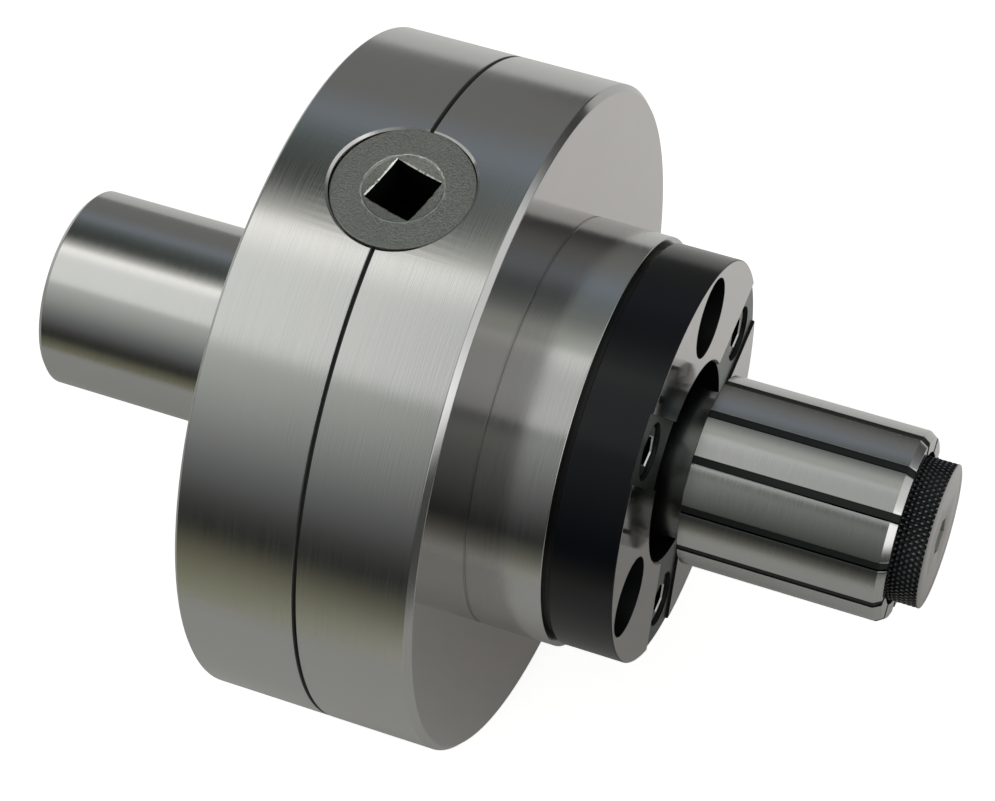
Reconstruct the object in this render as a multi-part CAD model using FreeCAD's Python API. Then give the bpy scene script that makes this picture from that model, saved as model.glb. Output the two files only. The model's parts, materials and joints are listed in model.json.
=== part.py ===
"""Expanding mandrel: tapered arbor, segmented sleeve and a gear-driven draw.

A square key turns the pinion in the side of the body. The pinion turns a
ring gear with a threaded nut at its middle. The nut moves the draw tube and
the draw bolt, which carry the twelve sleeve segments along the cone of the
arbor, so they open or close on the bore of the work.

Frame: X runs along the mandrel axis from the shank to the sleeve, Z points
out through the key pinion, and the origin is the centre of the shoulder face
behind the flange. Sizes are in millimetres. The rest position is the sleeve
drawn back and open.
"""
import FreeCAD
import Part
import math
import os

os.makedirs("parts", exist_ok=True)

V = FreeCAD.Vector
ORIGIN = V(0, 0, 0)
AXIS_X = V(1, 0, 0)
AXIS_Y = V(0, 1, 0)
AXIS_Z = V(0, 0, 1)

# Fits
RUN = 0.05
SLIP = 0.02
CLEAR = 0.3

# Shank and flange
BODY_R = 63.5
SHANK_R = 19.05
SHANK_LENGTH = 50.8
SHANK_CHAMFER = 1.0
SHANK_COLLAR = 2.0
REAR_CHAMFER = 0.6
RIM_CHAMFER = 1.1
SPLIT_X = 22.9
SPLIT_GROOVE = 0.8
SPLIT_DEPTH = 1.6
FACE_X = 44.6

# Hub in front of the flange
HUB_R = 38.9
HUB_END = 59.0
HUB_CHAMFER = 0.5
UNDERCUT = 0.5
UNDERCUT_WIDTH = 0.8

# Key pinion and ring gear, straight bevel teeth on one apex
RIM_WALL = 23.0
PINION_TEETH = 14
RING_TEETH = 54
TOOTH_SHIFT = 0.3
TOOTH_ROOT = 1.25
PRESSURE = math.radians(20)
BACKLASH = 0.2
GEAR_FACE = 10.0
FLANK_POINTS = 6
CUT_ENDS = 0.06
PINION_CUT_END = 0.04
CUT_ABOVE = 0.6
PINION_CUT_ABOVE = 0.8
GEAR_WEB_T = 6.0
GEAR_PIN_R = 1.5
GEAR_PIN_LENGTH = 5.0
PINION_SINK = 1.2
PINION_HEAD_R = 11.4
PINION_FLANGE_EDGE = 3.5
PINION_FLANGE_STEP = 1.6
PINION_FLANGE_T = 5.2
PINION_NECK_STEP = 1.7
PINION_CHAMFER = 0.35
TOOTH_ROOM = 1.0
TOOTH_RUN_OUT = 0.6
DRILL_DEPTH = 2.0
SEAT_R = 11.75
SEAT_DEPTH = 4.5
SEAT_CHAMFER = 0.45
WASHER_T = 1.0
SQUARE = 9.525
SQUARE_DEPTH = 13.0
SQUARE_TURN = -15.0
SQUARE_MOUTH_R = 7.15
SQUARE_MOUTH_DEPTH = 1.1

# Gear chamber
CHAMBER_ROOM = 2.5
REAR_WALL = 4.4
FRONT_WALL_X = 39.0
PINION_ROOM_Z = 20.0

# Thrust bearings
RACE_T = 0.8
ROLLER_R = 0.9
ROLLER_COUNT = 20
ROLLER_LENGTH = 6.0
FRONT_ROLLER_LENGTH = 4.5
RACE_EDGE = 1.0
REAR_RACE_STEP = 6.0
FRONT_RACE_STEP = 1.7

# Draw nut and draw tube
TUBE_R = 12.5
TUBE_REAR = -8.0
TUBE_FRONT = 56.0
NUT_R = 18.0
NUT_JOURNAL_R = 15.0
NUT_CLEAR = 0.6
NUT_SHOULDER = 2.0
NUT_SHOULDER_T = 3.0
NUT_FLANGE_T = 3.2
BUSH_T = 2.5
BUSH_LENGTH = 4.0
FRONT_BUSH_T = 3.0
TUBE_ROOM = 0.7
TRAVEL = 3.5
KEY_W = 4.0
KEY_DEPTH = 2.2
KEY_HEIGHT = 5.2
KEY_LENGTH = 7.6
KEY_STEP = 0.6

# Arbor
ARBOR_FLANGE_R = 36.5
ARBOR_FLANGE_X = 46.0
RING_REAR = 60.1
COLLAR_R = 17.3
COLLAR_END = 76.2
CONE_ANGLE = math.radians(8)
CONE_R = 15.25
CONE_END = 102.5
COLLAR_CHAMFER = 0.3
CONE_CHAMFER = 1.0
REGISTER_T = 2.0
ARBOR_RELIEF = 0.9
ARBOR_LAND = 8.0

# Stop ring
RING_R = 38.1
RING_T = 12.0
RING_BORE_R = 19.05
RING_CHAMFER = 0.5
BORE_CHAMFER = 0.4
RING_CLEAR = 0.1
PCD_R = 29.75
ACCESS_R = 7.5
NOTCH_W = 12.7
NOTCH_DEPTH = 0.5

# Segmented sleeve
SEGMENTS = 12
SEGMENT_TURN = 2.6
SLEEVE_R = 17.75
SLEEVE_GAP = 0.4
SLEEVE_LENGTH = 38.1
SLEEVE_CHAMFER = 1.2
SLIT = 1.65
RUBBER_GAP = 0.3
RUBBER_SINK = 0.18
LIP_T = 5.7
LIP_R = 7.0
SLEEVE_EDGE = 0.25
CONE_ROOM = 0.4
RUBBER_LIP = 2.0
POCKET_R = 14.2
POCKET_DEPTH = 3.0

# Draw bolt
BOLT_R = 6.0
BOLT_THREAD_R = 5.0
BOLT_REAR = 24.0
HEAD_R = 13.37
HEAD_LENGTH = 7.4
HEAD_CHAMFER = 0.6
HEAD_BACK_CHAMFER = 0.4
THREAD_CHAMFER = 1.2
BOLT_STEP = 0.5
HEX = 6.35
HEX_DEPTH = 5.0
WASHER_R = 11.0
CLIP_R = 8.6
CLIP_T = 1.2
CLIP_SINK = 0.8
CLIP_PLAY = 0.6
CLIP_MOUTH = 4.4

# Fasteners
M6_R = 3.0
M6_HEAD_R = 5.0
M6_HEAD = 6.0
M8_R = 4.0
M8_HEAD_R = 6.5
M8_HEAD = 8.0
M6_GRIP = 13.0
M6_RING_GRIP = 8.0
M8_GRIP = 7.0
HEAD_ROOM = 0.5
DOWEL_R = 2.5
DOWEL_LENGTH = 12.0
HALF_EDGE = 10.5
HALF_SCREWS = 6
HALF_SINK = 0.6

# Seals
ORING_R = 0.9
SPLIT_ORING_R = 1.0
SPLIT_ORING_STEP = 4.0
PINION_SEAL_STEP = 2.6

# Hole and plug in the shank
SHANK_BORE_R = 5.0
PLUG_R = 8.0
PLUG_LENGTH = 8.0
PLUG_SINK = 0.6
CENTRE_R = 3.2

# Places that follow from the sizes above
PITCH_RING = BODY_R - RIM_WALL
MODULE = 2 * PITCH_RING / RING_TEETH
PITCH_PINION = MODULE * PINION_TEETH / 2
CONE_LENGTH = math.hypot(PITCH_RING, PITCH_PINION)
PINION_FLANGE_R = PITCH_PINION + PINION_FLANGE_EDGE
PINION_NECK_R = PITCH_PINION - PINION_NECK_STEP
SHANK_COLLAR_R = SHANK_R + SHANK_COLLAR
GEAR_BACK_X = REAR_WALL + RACE_T + 2 * ROLLER_R + 2 * SLIP
RING_FRONT = RING_REAR + RING_T
SLEEVE_REAR = COLLAR_END + SLEEVE_GAP
SLEEVE_FRONT = SLEEVE_REAR + SLEEVE_LENGTH
LIP_FRONT = SLEEVE_FRONT - POCKET_DEPTH
LIP_REAR = LIP_FRONT - LIP_T
HEAD_REAR = LIP_FRONT + WASHER_T
HEAD_FRONT = HEAD_REAR + HEAD_LENGTH
CLIP_FRONT = LIP_REAR - CLIP_PLAY
NUT_FLANGE_X = FRONT_WALL_X - RACE_T - 2 * ROLLER_R - 2 * SLIP - NUT_FLANGE_T
CHAMBER_R = PITCH_RING + CHAMBER_ROOM
PINION_FLANGE_Z = CHAMBER_R + PINION_FLANGE_STEP
WASHER_Z = PINION_FLANGE_Z + PINION_FLANGE_T
PINION_FACE_Z = BODY_R - PINION_SINK
HALF_PCD_R = BODY_R - HALF_EDGE
SPLIT_ORING_PCD = CHAMBER_R + SPLIT_ORING_STEP
REAR_ROLLER_R = NUT_R + REAR_RACE_STEP
FRONT_ROLLER_R = NUT_R + FRONT_RACE_STEP
FRONT_RACE_OUT = FRONT_ROLLER_R + FRONT_ROLLER_LENGTH + RACE_EDGE / 2
NUT_FLANGE_R = FRONT_RACE_OUT
FRONT_CHAMBER_R = FRONT_RACE_OUT + RACE_EDGE
M8_SEAT = RING_REAR - M8_HEAD - RING_CLEAR
M6_RING_SEAT = RING_FRONT - NOTCH_DEPTH - M6_HEAD - HEAD_ROOM
NUT_FRONT = ARBOR_FLANGE_X - NUT_CLEAR
BUSH_REAR = REAR_WALL - BUSH_LENGTH


def spin(shape, degrees):
    """A copy turned about the mandrel axis; 0 is +Z and 90 is +Y."""
    out = shape.copy()
    out.rotate(ORIGIN, AXIS_X, -degrees)
    return out


def turned(points):
    """A solid turned about X from closed (x, r) points."""
    path = [V(x, 0, r) for x, r in points]
    path.append(path[0])
    face = Part.Face(Part.makePolygon(path))
    return face.revolve(ORIGIN, AXIS_X, 360)


def rod(x0, x1, radius, y=0.0, z=0.0):
    """A round bar along X."""
    return Part.makeCylinder(radius, x1 - x0, V(x0, y, z), AXIS_X)


def tube(x0, x1, inner, outer):
    """A plain ring on the mandrel axis."""
    return rod(x0, x1, outer).cut(rod(x0 - 1, x1 + 1, inner))


def place(shape, radius, degrees):
    """A copy moved out to a pitch circle and round to an angle."""
    out = shape.copy()
    out.translate(V(0, 0, radius))
    return spin(out, degrees)


def oring(x, major, minor):
    """An O-ring round the mandrel axis, with an eight-sided section."""
    points = []
    for k in range(8):
        turn = math.radians(22.5 + 45 * k)
        points.append((x + minor * math.cos(turn), major + minor * math.sin(turn)))
    return turned(points)


def groove(x, major, minor):
    """The square-cornered groove that an O-ring lies in."""
    return tube(x - minor - SLIP, x + minor + SLIP, major - minor, major + minor)


def hexagon(across, x0, x1):
    """A hexagonal bar along X."""
    corner = across / math.sqrt(3)
    path = []
    for k in range(7):
        turn = math.radians(60 * k)
        path.append(V(x0, corner * math.cos(turn), corner * math.sin(turn)))
    face = Part.Face(Part.makePolygon(path))
    return face.extrude(V(x1 - x0, 0, 0))


def cap_screw(seat, tip, radius, head_r, head):
    """A socket-head cap screw along X with its head at the larger x."""
    shank = rod(tip, seat, radius)
    cap = rod(seat, seat + head, head_r)
    edge = cap.Edges[0]
    for item in cap.Edges:
        if item.BoundBox.XMin > seat + head - 0.01:
            edge = item
    cap = cap.makeChamfer(0.06 * head_r, [edge])
    socket = hexagon(head_r, seat + 0.45 * head, seat + head + 1)
    return shank.fuse(cap).cut(socket).removeSplitter()


def involute(angle):
    """The involute function."""
    return math.tan(angle) - angle


def gap_polygon(teeth, cone, shift, depth, height):
    """Half outline of one tooth gap, as (u, v) points from root to tip."""
    radius = MODULE * teeth / 2 / math.cos(cone)
    base = radius * math.cos(PRESSURE)
    pitch = 2 * math.pi * math.cos(cone) / teeth
    thick = math.pi * MODULE / 2 + 2 * shift * MODULE * math.tan(PRESSURE) - BACKLASH / 2
    half = thick / 2 / radius + involute(PRESSURE)
    low = radius - depth
    high = radius + height
    points = []
    for k in range(FLANK_POINTS):
        rho = low + (high - low) * k / (FLANK_POINTS - 1)
        roll = math.acos(min(1.0, base / max(rho, base)))
        turn = pitch / 2 - (half - involute(roll))
        points.append((rho * math.sin(turn), rho * math.cos(turn) - radius))
    return points


def bevel_cutter(teeth, cone, shift, depth, height, small, large):
    """One tooth gap as a pyramid that runs to the common apex."""
    side = gap_polygon(teeth, cone, shift, depth, height)
    outline = [(-u, v) for u, v in reversed(side)] + side
    radius = MODULE * teeth / 2
    along = CONE_LENGTH * math.cos(cone)
    rings = []
    for scale in (small, large):
        ring = []
        for u, v in outline:
            x = radius + v * math.cos(cone)
            z = along - v * math.sin(cone)
            ring.append(V(x * scale, u * scale, z * scale))
        rings.append(ring)
    faces = []
    count = len(outline)
    for k in range(count):
        n = (k + 1) % count
        quad = [rings[0][k], rings[0][n], rings[1][n], rings[1][k], rings[0][k]]
        faces.append(Part.Face(Part.makePolygon(quad)))
    for ring in rings:
        faces.append(Part.Face(Part.makePolygon(ring + [ring[0]])))
    solid = Part.Solid(Part.Shell(faces))
    if solid.Volume < 0:
        solid.reverse()
    return solid


def cone_points(teeth, cone, tip, root):
    """Tip and root corners of a bevel face, large end then small end, as (r, z)."""
    radius = MODULE * teeth / 2
    along = CONE_LENGTH * math.cos(cone)
    small = 1 - GEAR_FACE / CONE_LENGTH
    out = []
    for v in (tip, -root):
        r = radius + v * math.cos(cone)
        z = along - v * math.sin(cone)
        out.append((r, z))
        out.append((r * small, z * small))
    return out


def pattern(cutter, count, start):
    """Copies of a tooth gap round the local Z axis."""
    out = []
    for k in range(count):
        one = cutter.copy()
        one.rotate(ORIGIN, AXIS_Z, start + 360.0 * k / count)
        out.append(one)
    return out


def make_ring_gear():
    """Ring gear whose teeth face the front, seated on the draw nut."""
    cone = math.atan2(RING_TEETH, PINION_TEETH)
    tip = (1 - TOOTH_SHIFT) * MODULE
    root = (TOOTH_ROOT + TOOTH_SHIFT) * MODULE
    corners = cone_points(RING_TEETH, cone, tip, root)
    (r1, z1), (r2, z2), (r3, z3), (r4, z4) = corners
    back = SPLIT_X - GEAR_BACK_X
    web = SPLIT_X - GEAR_BACK_X - GEAR_WEB_T
    profile = [(NUT_R, back), (NUT_R, web), (r4 - TOOTH_ROOM, web), (r2, z2), (r1, z1)]
    profile += [(r3, z3), (r3, back)]
    path = [V(r, 0, z) for r, z in profile]
    path.append(path[0])
    blank = Part.Face(Part.makePolygon(path)).revolve(ORIGIN, AXIS_Z, 360)
    small = 1 - GEAR_FACE / CONE_LENGTH
    cutter = bevel_cutter(RING_TEETH, cone, -TOOTH_SHIFT, root, tip + CUT_ABOVE,
                          small - CUT_ENDS, 1 + CUT_ENDS)
    gear = blank.cut(pattern(cutter, RING_TEETH, 0))
    gear.rotate(ORIGIN, AXIS_Y, -90)
    gear.translate(V(SPLIT_X, 0, 0))
    for hole in gear_pins(SLIP):
        gear = gear.cut(hole)
    return gear


def gear_pins(grow=0.0):
    """Three pins along the joint of ring gear and draw nut."""
    out = []
    for k in range(3):
        pin = rod(GEAR_BACK_X, GEAR_BACK_X + GEAR_PIN_LENGTH + grow, GEAR_PIN_R + grow)
        out.append(place(pin, NUT_R, 60 + 120 * k))
    return out


def pinion_gear():
    """Toothed end of the key pinion, on its own axis from the gear apex."""
    cone = math.atan2(PINION_TEETH, RING_TEETH)
    tip = (1 + TOOTH_SHIFT) * MODULE
    root = (TOOTH_ROOT - TOOTH_SHIFT) * MODULE
    (r1, z1), (r2, z2), (r3, z3), (r4, z4) = cone_points(PINION_TEETH, cone, tip, root)
    profile = [(0, z4), (r4, z4), (r2, z2), (r1, z1), (r3, z3)]
    profile += [(PINION_NECK_R, z3 + TOOTH_RUN_OUT), (PINION_NECK_R, PINION_FLANGE_Z)]
    profile += [(PINION_FLANGE_R, PINION_FLANGE_Z), (PINION_FLANGE_R, WASHER_Z)]
    profile += [(PINION_HEAD_R, WASHER_Z), (PINION_HEAD_R, PINION_FACE_Z - PINION_CHAMFER)]
    profile += [(PINION_HEAD_R - PINION_CHAMFER, PINION_FACE_Z), (0, PINION_FACE_Z)]
    path = [V(r, 0, z) for r, z in profile]
    path.append(path[0])
    blank = Part.Face(Part.makePolygon(path)).revolve(ORIGIN, AXIS_Z, 360)
    small = 1 - GEAR_FACE / CONE_LENGTH
    cutter = bevel_cutter(PINION_TEETH, cone, TOOTH_SHIFT, root, tip + PINION_CUT_ABOVE,
                          small - CUT_ENDS, 1 + PINION_CUT_END)
    start = 180 + 180.0 / PINION_TEETH
    return blank.cut(pattern(cutter, PINION_TEETH, start))


def make_key_pinion():
    """Key pinion with a square socket in its outer face."""
    pinion = pinion_gear()
    floor = PINION_FACE_Z - SQUARE_DEPTH
    socket = Part.makeBox(SQUARE, SQUARE, SQUARE_DEPTH + 1, V(-SQUARE / 2, -SQUARE / 2, floor))
    socket.rotate(ORIGIN, AXIS_Z, SQUARE_TURN)
    mouth = Part.makeCone(SQUARE_MOUTH_R - SQUARE_MOUTH_DEPTH, SQUARE_MOUTH_R, SQUARE_MOUTH_DEPTH,
                          V(0, 0, PINION_FACE_Z - SQUARE_MOUTH_DEPTH))
    drill = Part.makeCone(0, SQUARE / 2 - SLIP, DRILL_DEPTH, V(0, 0, floor - DRILL_DEPTH))
    pinion = pinion.cut([socket, mouth, drill])
    pinion.translate(V(SPLIT_X, 0, 0))
    return pinion.cut(to_pinion(pinion_groove()))


def pinion_seal_z():
    """Height of the O-ring in the pinion head."""
    return WASHER_Z + WASHER_T + PINION_SEAL_STEP


def to_pinion(shape):
    """A copy turned from the mandrel axis on to the pinion axis."""
    out = shape.copy()
    out.rotate(ORIGIN, AXIS_Y, -90)
    out.translate(V(SPLIT_X, 0, 0))
    return out


def pinion_groove():
    """O-ring groove in the pinion head, laid along X."""
    middle = pinion_seal_z()
    half = ORING_R + SLIP
    return tube(middle - half, middle + half, PINION_HEAD_R + RUN - 2 * ORING_R, PINION_HEAD_R + 1)


def make_pinion_oring():
    """O-ring in the pinion head."""
    major = PINION_HEAD_R + RUN - ORING_R
    return to_pinion(oring(pinion_seal_z(), major, ORING_R))


def make_pinion_washer():
    """Thrust washer between the pinion flange and the body."""
    base = V(SPLIT_X, 0, WASHER_Z + SLIP)
    ring = Part.makeCylinder(PINION_FLANGE_R, WASHER_T, base)
    return ring.cut(Part.makeCylinder(PINION_HEAD_R + RUN, WASHER_T, base))


def pinion_space():
    """Everything the key pinion needs cut out of the two body halves."""
    top = WASHER_Z + WASHER_T + 2 * SLIP
    wide = Part.makeCylinder(PINION_FLANGE_R + CLEAR, top - PINION_FLANGE_Z + CLEAR,
                             V(SPLIT_X, 0, PINION_FLANGE_Z - CLEAR))
    teeth = Part.makeCylinder(PINION_FLANGE_R - TOOTH_ROOM, PINION_FLANGE_Z - PINION_ROOM_Z,
                              V(SPLIT_X, 0, PINION_ROOM_Z))
    journal = Part.makeCylinder(PINION_HEAD_R + RUN, BODY_R - top + 1, V(SPLIT_X, 0, top - 0.1))
    mouth = Part.makeCylinder(SEAT_R, SEAT_DEPTH + 1, V(SPLIT_X, 0, BODY_R - SEAT_DEPTH))
    flare = Part.makeCone(SEAT_R, SEAT_R + 3 * SEAT_CHAMFER, 3 * SEAT_CHAMFER,
                          V(SPLIT_X, 0, seat_edge_z() - SEAT_CHAMFER))
    return wide.fuse([teeth, journal, mouth, flare])


def seat_edge_z():
    """Lowest height of the round body surface along the seat edge."""
    return math.sqrt(BODY_R ** 2 - (SEAT_R + SEAT_CHAMFER) ** 2)


def half_screw_angles():
    """Angles of the screws that hold the two halves together."""
    return [30 + 360.0 / HALF_SCREWS * k for k in range(HALF_SCREWS)]


def half_screws(grow=0.0):
    """Cap screws from the shoulder face into the front half."""
    seat = M6_HEAD + HALF_SINK
    tip = SPLIT_X + M6_GRIP
    one = cap_screw(-seat, -tip, M6_R, M6_HEAD_R, M6_HEAD)
    one.rotate(ORIGIN, AXIS_Z, 180)
    if grow:
        one = rod(-1, seat, M6_HEAD_R + CLEAR).fuse(rod(seat - 1, tip + 1, M6_R + SLIP))
    return [place(one, HALF_PCD_R, a) for a in half_screw_angles()]


def half_dowels(grow=0.0):
    """Two dowels across the split."""
    half = DOWEL_LENGTH / 2 + grow
    one = rod(SPLIT_X - half, SPLIT_X + half, DOWEL_R + grow)
    return [place(one, HALF_PCD_R, a) for a in (60, 240)]


def seal_gap():
    """Block where the O-ring between the halves stops short of the pinion."""
    half = PINION_FLANGE_R + 2 * SPLIT_ORING_R
    deep = 4 * SPLIT_ORING_R
    return Part.makeBox(2 * deep, 2 * half, BODY_R, V(SPLIT_X - deep, -half, 0))


def groove_space():
    """Groove for the O-ring between the halves."""
    return groove(SPLIT_X - SPLIT_ORING_R, SPLIT_ORING_PCD, SPLIT_ORING_R).cut(seal_gap())


def make_split_oring():
    """O-ring between the two halves, broken where the pinion passes."""
    return oring(SPLIT_X - SPLIT_ORING_R, SPLIT_ORING_PCD, SPLIT_ORING_R).cut(seal_gap())


def make_shank():
    """Shank with a collar shrunk into the rear half, and the bore for the draw tube."""
    points = [(-SHANK_LENGTH, 0), (-SHANK_LENGTH, SHANK_R - SHANK_CHAMFER)]
    points += [(-SHANK_LENGTH + SHANK_CHAMFER, SHANK_R), (0, SHANK_R), (0, SHANK_COLLAR_R)]
    points += [(REAR_WALL, SHANK_COLLAR_R), (REAR_WALL, 0)]
    cuts = [rod(BUSH_REAR, REAR_WALL + 1, NUT_JOURNAL_R + BUSH_T)]
    cuts.append(rod(TUBE_REAR - TRAVEL, REAR_WALL, TUBE_R + TUBE_ROOM))
    cuts.append(rod(-SHANK_LENGTH - 1, TUBE_REAR, SHANK_BORE_R))
    cuts.append(rod(-SHANK_LENGTH - 1, -SHANK_LENGTH + PLUG_LENGTH, PLUG_R))
    return turned(points).cut(cuts).removeSplitter()


def make_rear_body():
    """Rear half of the body, with the gear chamber."""
    rim = SPLIT_X - SPLIT_GROOVE / 2
    points = [(0, SHANK_COLLAR_R), (0, BODY_R - REAR_CHAMFER), (REAR_CHAMFER, BODY_R)]
    points += [(rim, BODY_R), (rim, BODY_R - SPLIT_DEPTH), (SPLIT_X, BODY_R - SPLIT_DEPTH)]
    points += [(SPLIT_X, CHAMBER_R), (REAR_WALL, CHAMBER_R), (REAR_WALL, SHANK_COLLAR_R)]
    cuts = [pinion_space(), groove_space()]
    cuts += half_screws(SLIP)
    cuts += half_dowels(SLIP)
    return turned(points).cut(cuts).removeSplitter()


def make_front_body():
    """Front half of the body, around the draw nut."""
    rim = SPLIT_X + SPLIT_GROOVE / 2
    bore = NUT_R + RUN + FRONT_BUSH_T
    points = [(SPLIT_X, FRONT_CHAMBER_R), (SPLIT_X, BODY_R - SPLIT_DEPTH), (rim, BODY_R - SPLIT_DEPTH)]
    points += [(rim, BODY_R), (FACE_X - RIM_CHAMFER, BODY_R), (FACE_X, BODY_R - RIM_CHAMFER)]
    points += [(FACE_X, bore), (FRONT_WALL_X, bore), (FRONT_WALL_X, FRONT_CHAMBER_R)]
    cuts = [pinion_space()]
    cuts += half_screws(SLIP)
    cuts += half_dowels(SLIP)
    cuts += arbor_screws(SLIP)
    cuts += arbor_dowels(SLIP)
    return turned(points).cut(cuts).removeSplitter()


def make_hub():
    """Hub on the front face, with the seat for the arbor flange."""
    bore = NUT_R + RUN + FRONT_BUSH_T
    points = [(FACE_X, bore), (FACE_X, HUB_R - UNDERCUT), (FACE_X + UNDERCUT_WIDTH, HUB_R - UNDERCUT)]
    points += [(FACE_X + UNDERCUT_WIDTH, HUB_R), (HUB_END - HUB_CHAMFER, HUB_R)]
    points += [(HUB_END, HUB_R - HUB_CHAMFER), (HUB_END, ARBOR_FLANGE_R + SLIP)]
    points += [(ARBOR_FLANGE_X, ARBOR_FLANGE_R + SLIP), (ARBOR_FLANGE_X, bore)]
    cuts = arbor_screws(SLIP)
    cuts += arbor_dowels(SLIP)
    return turned(points).cut(cuts).removeSplitter()


def arbor_angles():
    """Angles of the arbor screws and of the wrench holes over them."""
    return [30 + 120 * k for k in range(3)]


def arbor_screws(grow=0.0):
    """Cap screws through the arbor flange into the front half."""
    tip = ARBOR_FLANGE_X - M8_GRIP
    one = cap_screw(M8_SEAT, tip, M8_R, M8_HEAD_R, M8_HEAD)
    if grow:
        one = rod(tip - 1, M8_SEAT, M8_R + grow).fuse(rod(M8_SEAT, RING_REAR + 1, M8_HEAD_R + CLEAR))
    return [place(one, PCD_R, a) for a in arbor_angles()]


def arbor_dowels(grow=0.0):
    """Two dowels that set the angle of the arbor."""
    half = DOWEL_LENGTH / 2 + grow
    one = rod(ARBOR_FLANGE_X - half, ARBOR_FLANGE_X + half, DOWEL_R + grow)
    return [place(one, PCD_R, a) for a in (0, 180)]


def ring_angles():
    """Angles of the relief slots and screws of the stop ring."""
    return [-30 + 120 * k for k in range(3)]


def ring_screws(grow=0.0):
    """Cap screws that hold the stop ring on the arbor flange."""
    tip = RING_REAR - M6_RING_GRIP
    one = cap_screw(M6_RING_SEAT, tip, M6_R, M6_HEAD_R, M6_HEAD)
    if grow:
        top = rod(M6_RING_SEAT, RING_FRONT + 1, M6_HEAD_R + CLEAR)
        one = rod(tip - 1, M6_RING_SEAT, M6_R + grow).fuse(top)
    return [place(one, PCD_R, a) for a in ring_angles()]


def cone_radius(x):
    """Radius of the arbor cone at a place along the axis."""
    return CONE_R - (x - COLLAR_END) * math.tan(CONE_ANGLE)


def key_slots(grow=0.0):
    """The two keys that stop the draw tube from turning, or their slots."""
    low = TUBE_R - KEY_DEPTH + CLEAR
    start = ARBOR_FLANGE_X + KEY_STEP
    width = KEY_W + 2 * grow
    one = Part.makeBox(KEY_LENGTH, width, KEY_HEIGHT, V(start, -width / 2, low))
    if grow:
        one = Part.makeBox(KEY_LENGTH + KEY_STEP + grow, width, KEY_HEIGHT + grow,
                           V(ARBOR_FLANGE_X, -width / 2, low))
    return [spin(one, a) for a in (90, 270)]


def make_arbor():
    """Flange, collar and cone that the sleeve runs on."""
    end = cone_radius(CONE_END)
    points = [(ARBOR_FLANGE_X, 0), (ARBOR_FLANGE_X, ARBOR_FLANGE_R), (RING_REAR, ARBOR_FLANGE_R)]
    points += [(RING_REAR, RING_BORE_R - SLIP), (RING_REAR + REGISTER_T, RING_BORE_R - SLIP)]
    points += [(RING_REAR + REGISTER_T, COLLAR_R), (COLLAR_END - COLLAR_CHAMFER, COLLAR_R)]
    points += [(COLLAR_END, COLLAR_R - COLLAR_CHAMFER), (COLLAR_END, CONE_R)]
    points += [(CONE_END - CONE_CHAMFER, cone_radius(CONE_END - CONE_CHAMFER))]
    points += [(CONE_END, end - CONE_CHAMFER), (CONE_END, 0)]
    arbor = turned(points)
    room = TUBE_FRONT + TRAVEL + HEAD_ROOM
    cuts = [rod(ARBOR_FLANGE_X - 1, room, TUBE_R + RUN)]
    cuts.append(rod(room - 1, CONE_END + 1, BOLT_R + RUN))
    cuts.append(rod(room + ARBOR_LAND, CONE_END - ARBOR_LAND, BOLT_R + ARBOR_RELIEF))
    cuts.append(groove(arbor_seal_x(), BOLT_R + ORING_R, ORING_R))
    cuts += arbor_screws(SLIP)
    cuts += arbor_dowels(SLIP)
    cuts += ring_screws(SLIP)
    cuts += key_slots(SLIP)
    return arbor.cut(cuts).removeSplitter()


def arbor_seal_x():
    """Place of the O-ring in the front of the arbor bore."""
    return CONE_END - ARBOR_LAND / 2


def make_stop_ring():
    """Work stop with wrench holes and three relief slots."""
    points = [(RING_REAR, RING_BORE_R), (RING_REAR, RING_R - RING_CHAMFER)]
    points += [(RING_REAR + RING_CHAMFER, RING_R), (RING_FRONT - RING_CHAMFER, RING_R)]
    points += [(RING_FRONT, RING_R - RING_CHAMFER), (RING_FRONT, RING_BORE_R + BORE_CHAMFER)]
    points += [(RING_FRONT - BORE_CHAMFER, RING_BORE_R)]
    ring = turned(points)
    slot = Part.makeBox(NOTCH_DEPTH + 1, NOTCH_W, RING_R + 1,
                        V(RING_FRONT - NOTCH_DEPTH, -NOTCH_W / 2, 0))
    cuts = [spin(slot, a) for a in ring_angles()]
    hole = rod(RING_REAR - 1, RING_FRONT + 1, ACCESS_R)
    cuts += [place(hole, PCD_R, a) for a in arbor_angles()]
    cuts += ring_screws(SLIP)
    return ring.cut(cuts).removeSplitter()


def make_draw_nut():
    """Threaded nut at the middle of the ring gear, with a thrust flange."""
    shoulder = GEAR_BACK_X + GEAR_WEB_T
    rear = BUSH_REAR + RUN
    points = [(rear, TUBE_R + RUN), (rear, NUT_JOURNAL_R), (GEAR_BACK_X, NUT_JOURNAL_R)]
    points += [(GEAR_BACK_X, NUT_R), (shoulder, NUT_R), (shoulder, NUT_R + NUT_SHOULDER)]
    points += [(shoulder + NUT_SHOULDER_T, NUT_R + NUT_SHOULDER), (shoulder + NUT_SHOULDER_T, NUT_R)]
    points += [(NUT_FLANGE_X, NUT_R), (NUT_FLANGE_X, NUT_FLANGE_R)]
    points += [(NUT_FLANGE_X + NUT_FLANGE_T, NUT_FLANGE_R), (NUT_FLANGE_X + NUT_FLANGE_T, NUT_R)]
    points += [(NUT_FRONT, NUT_R), (NUT_FRONT, TUBE_R + RUN)]
    return turned(points).cut(gear_pins(SLIP)).removeSplitter()


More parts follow.
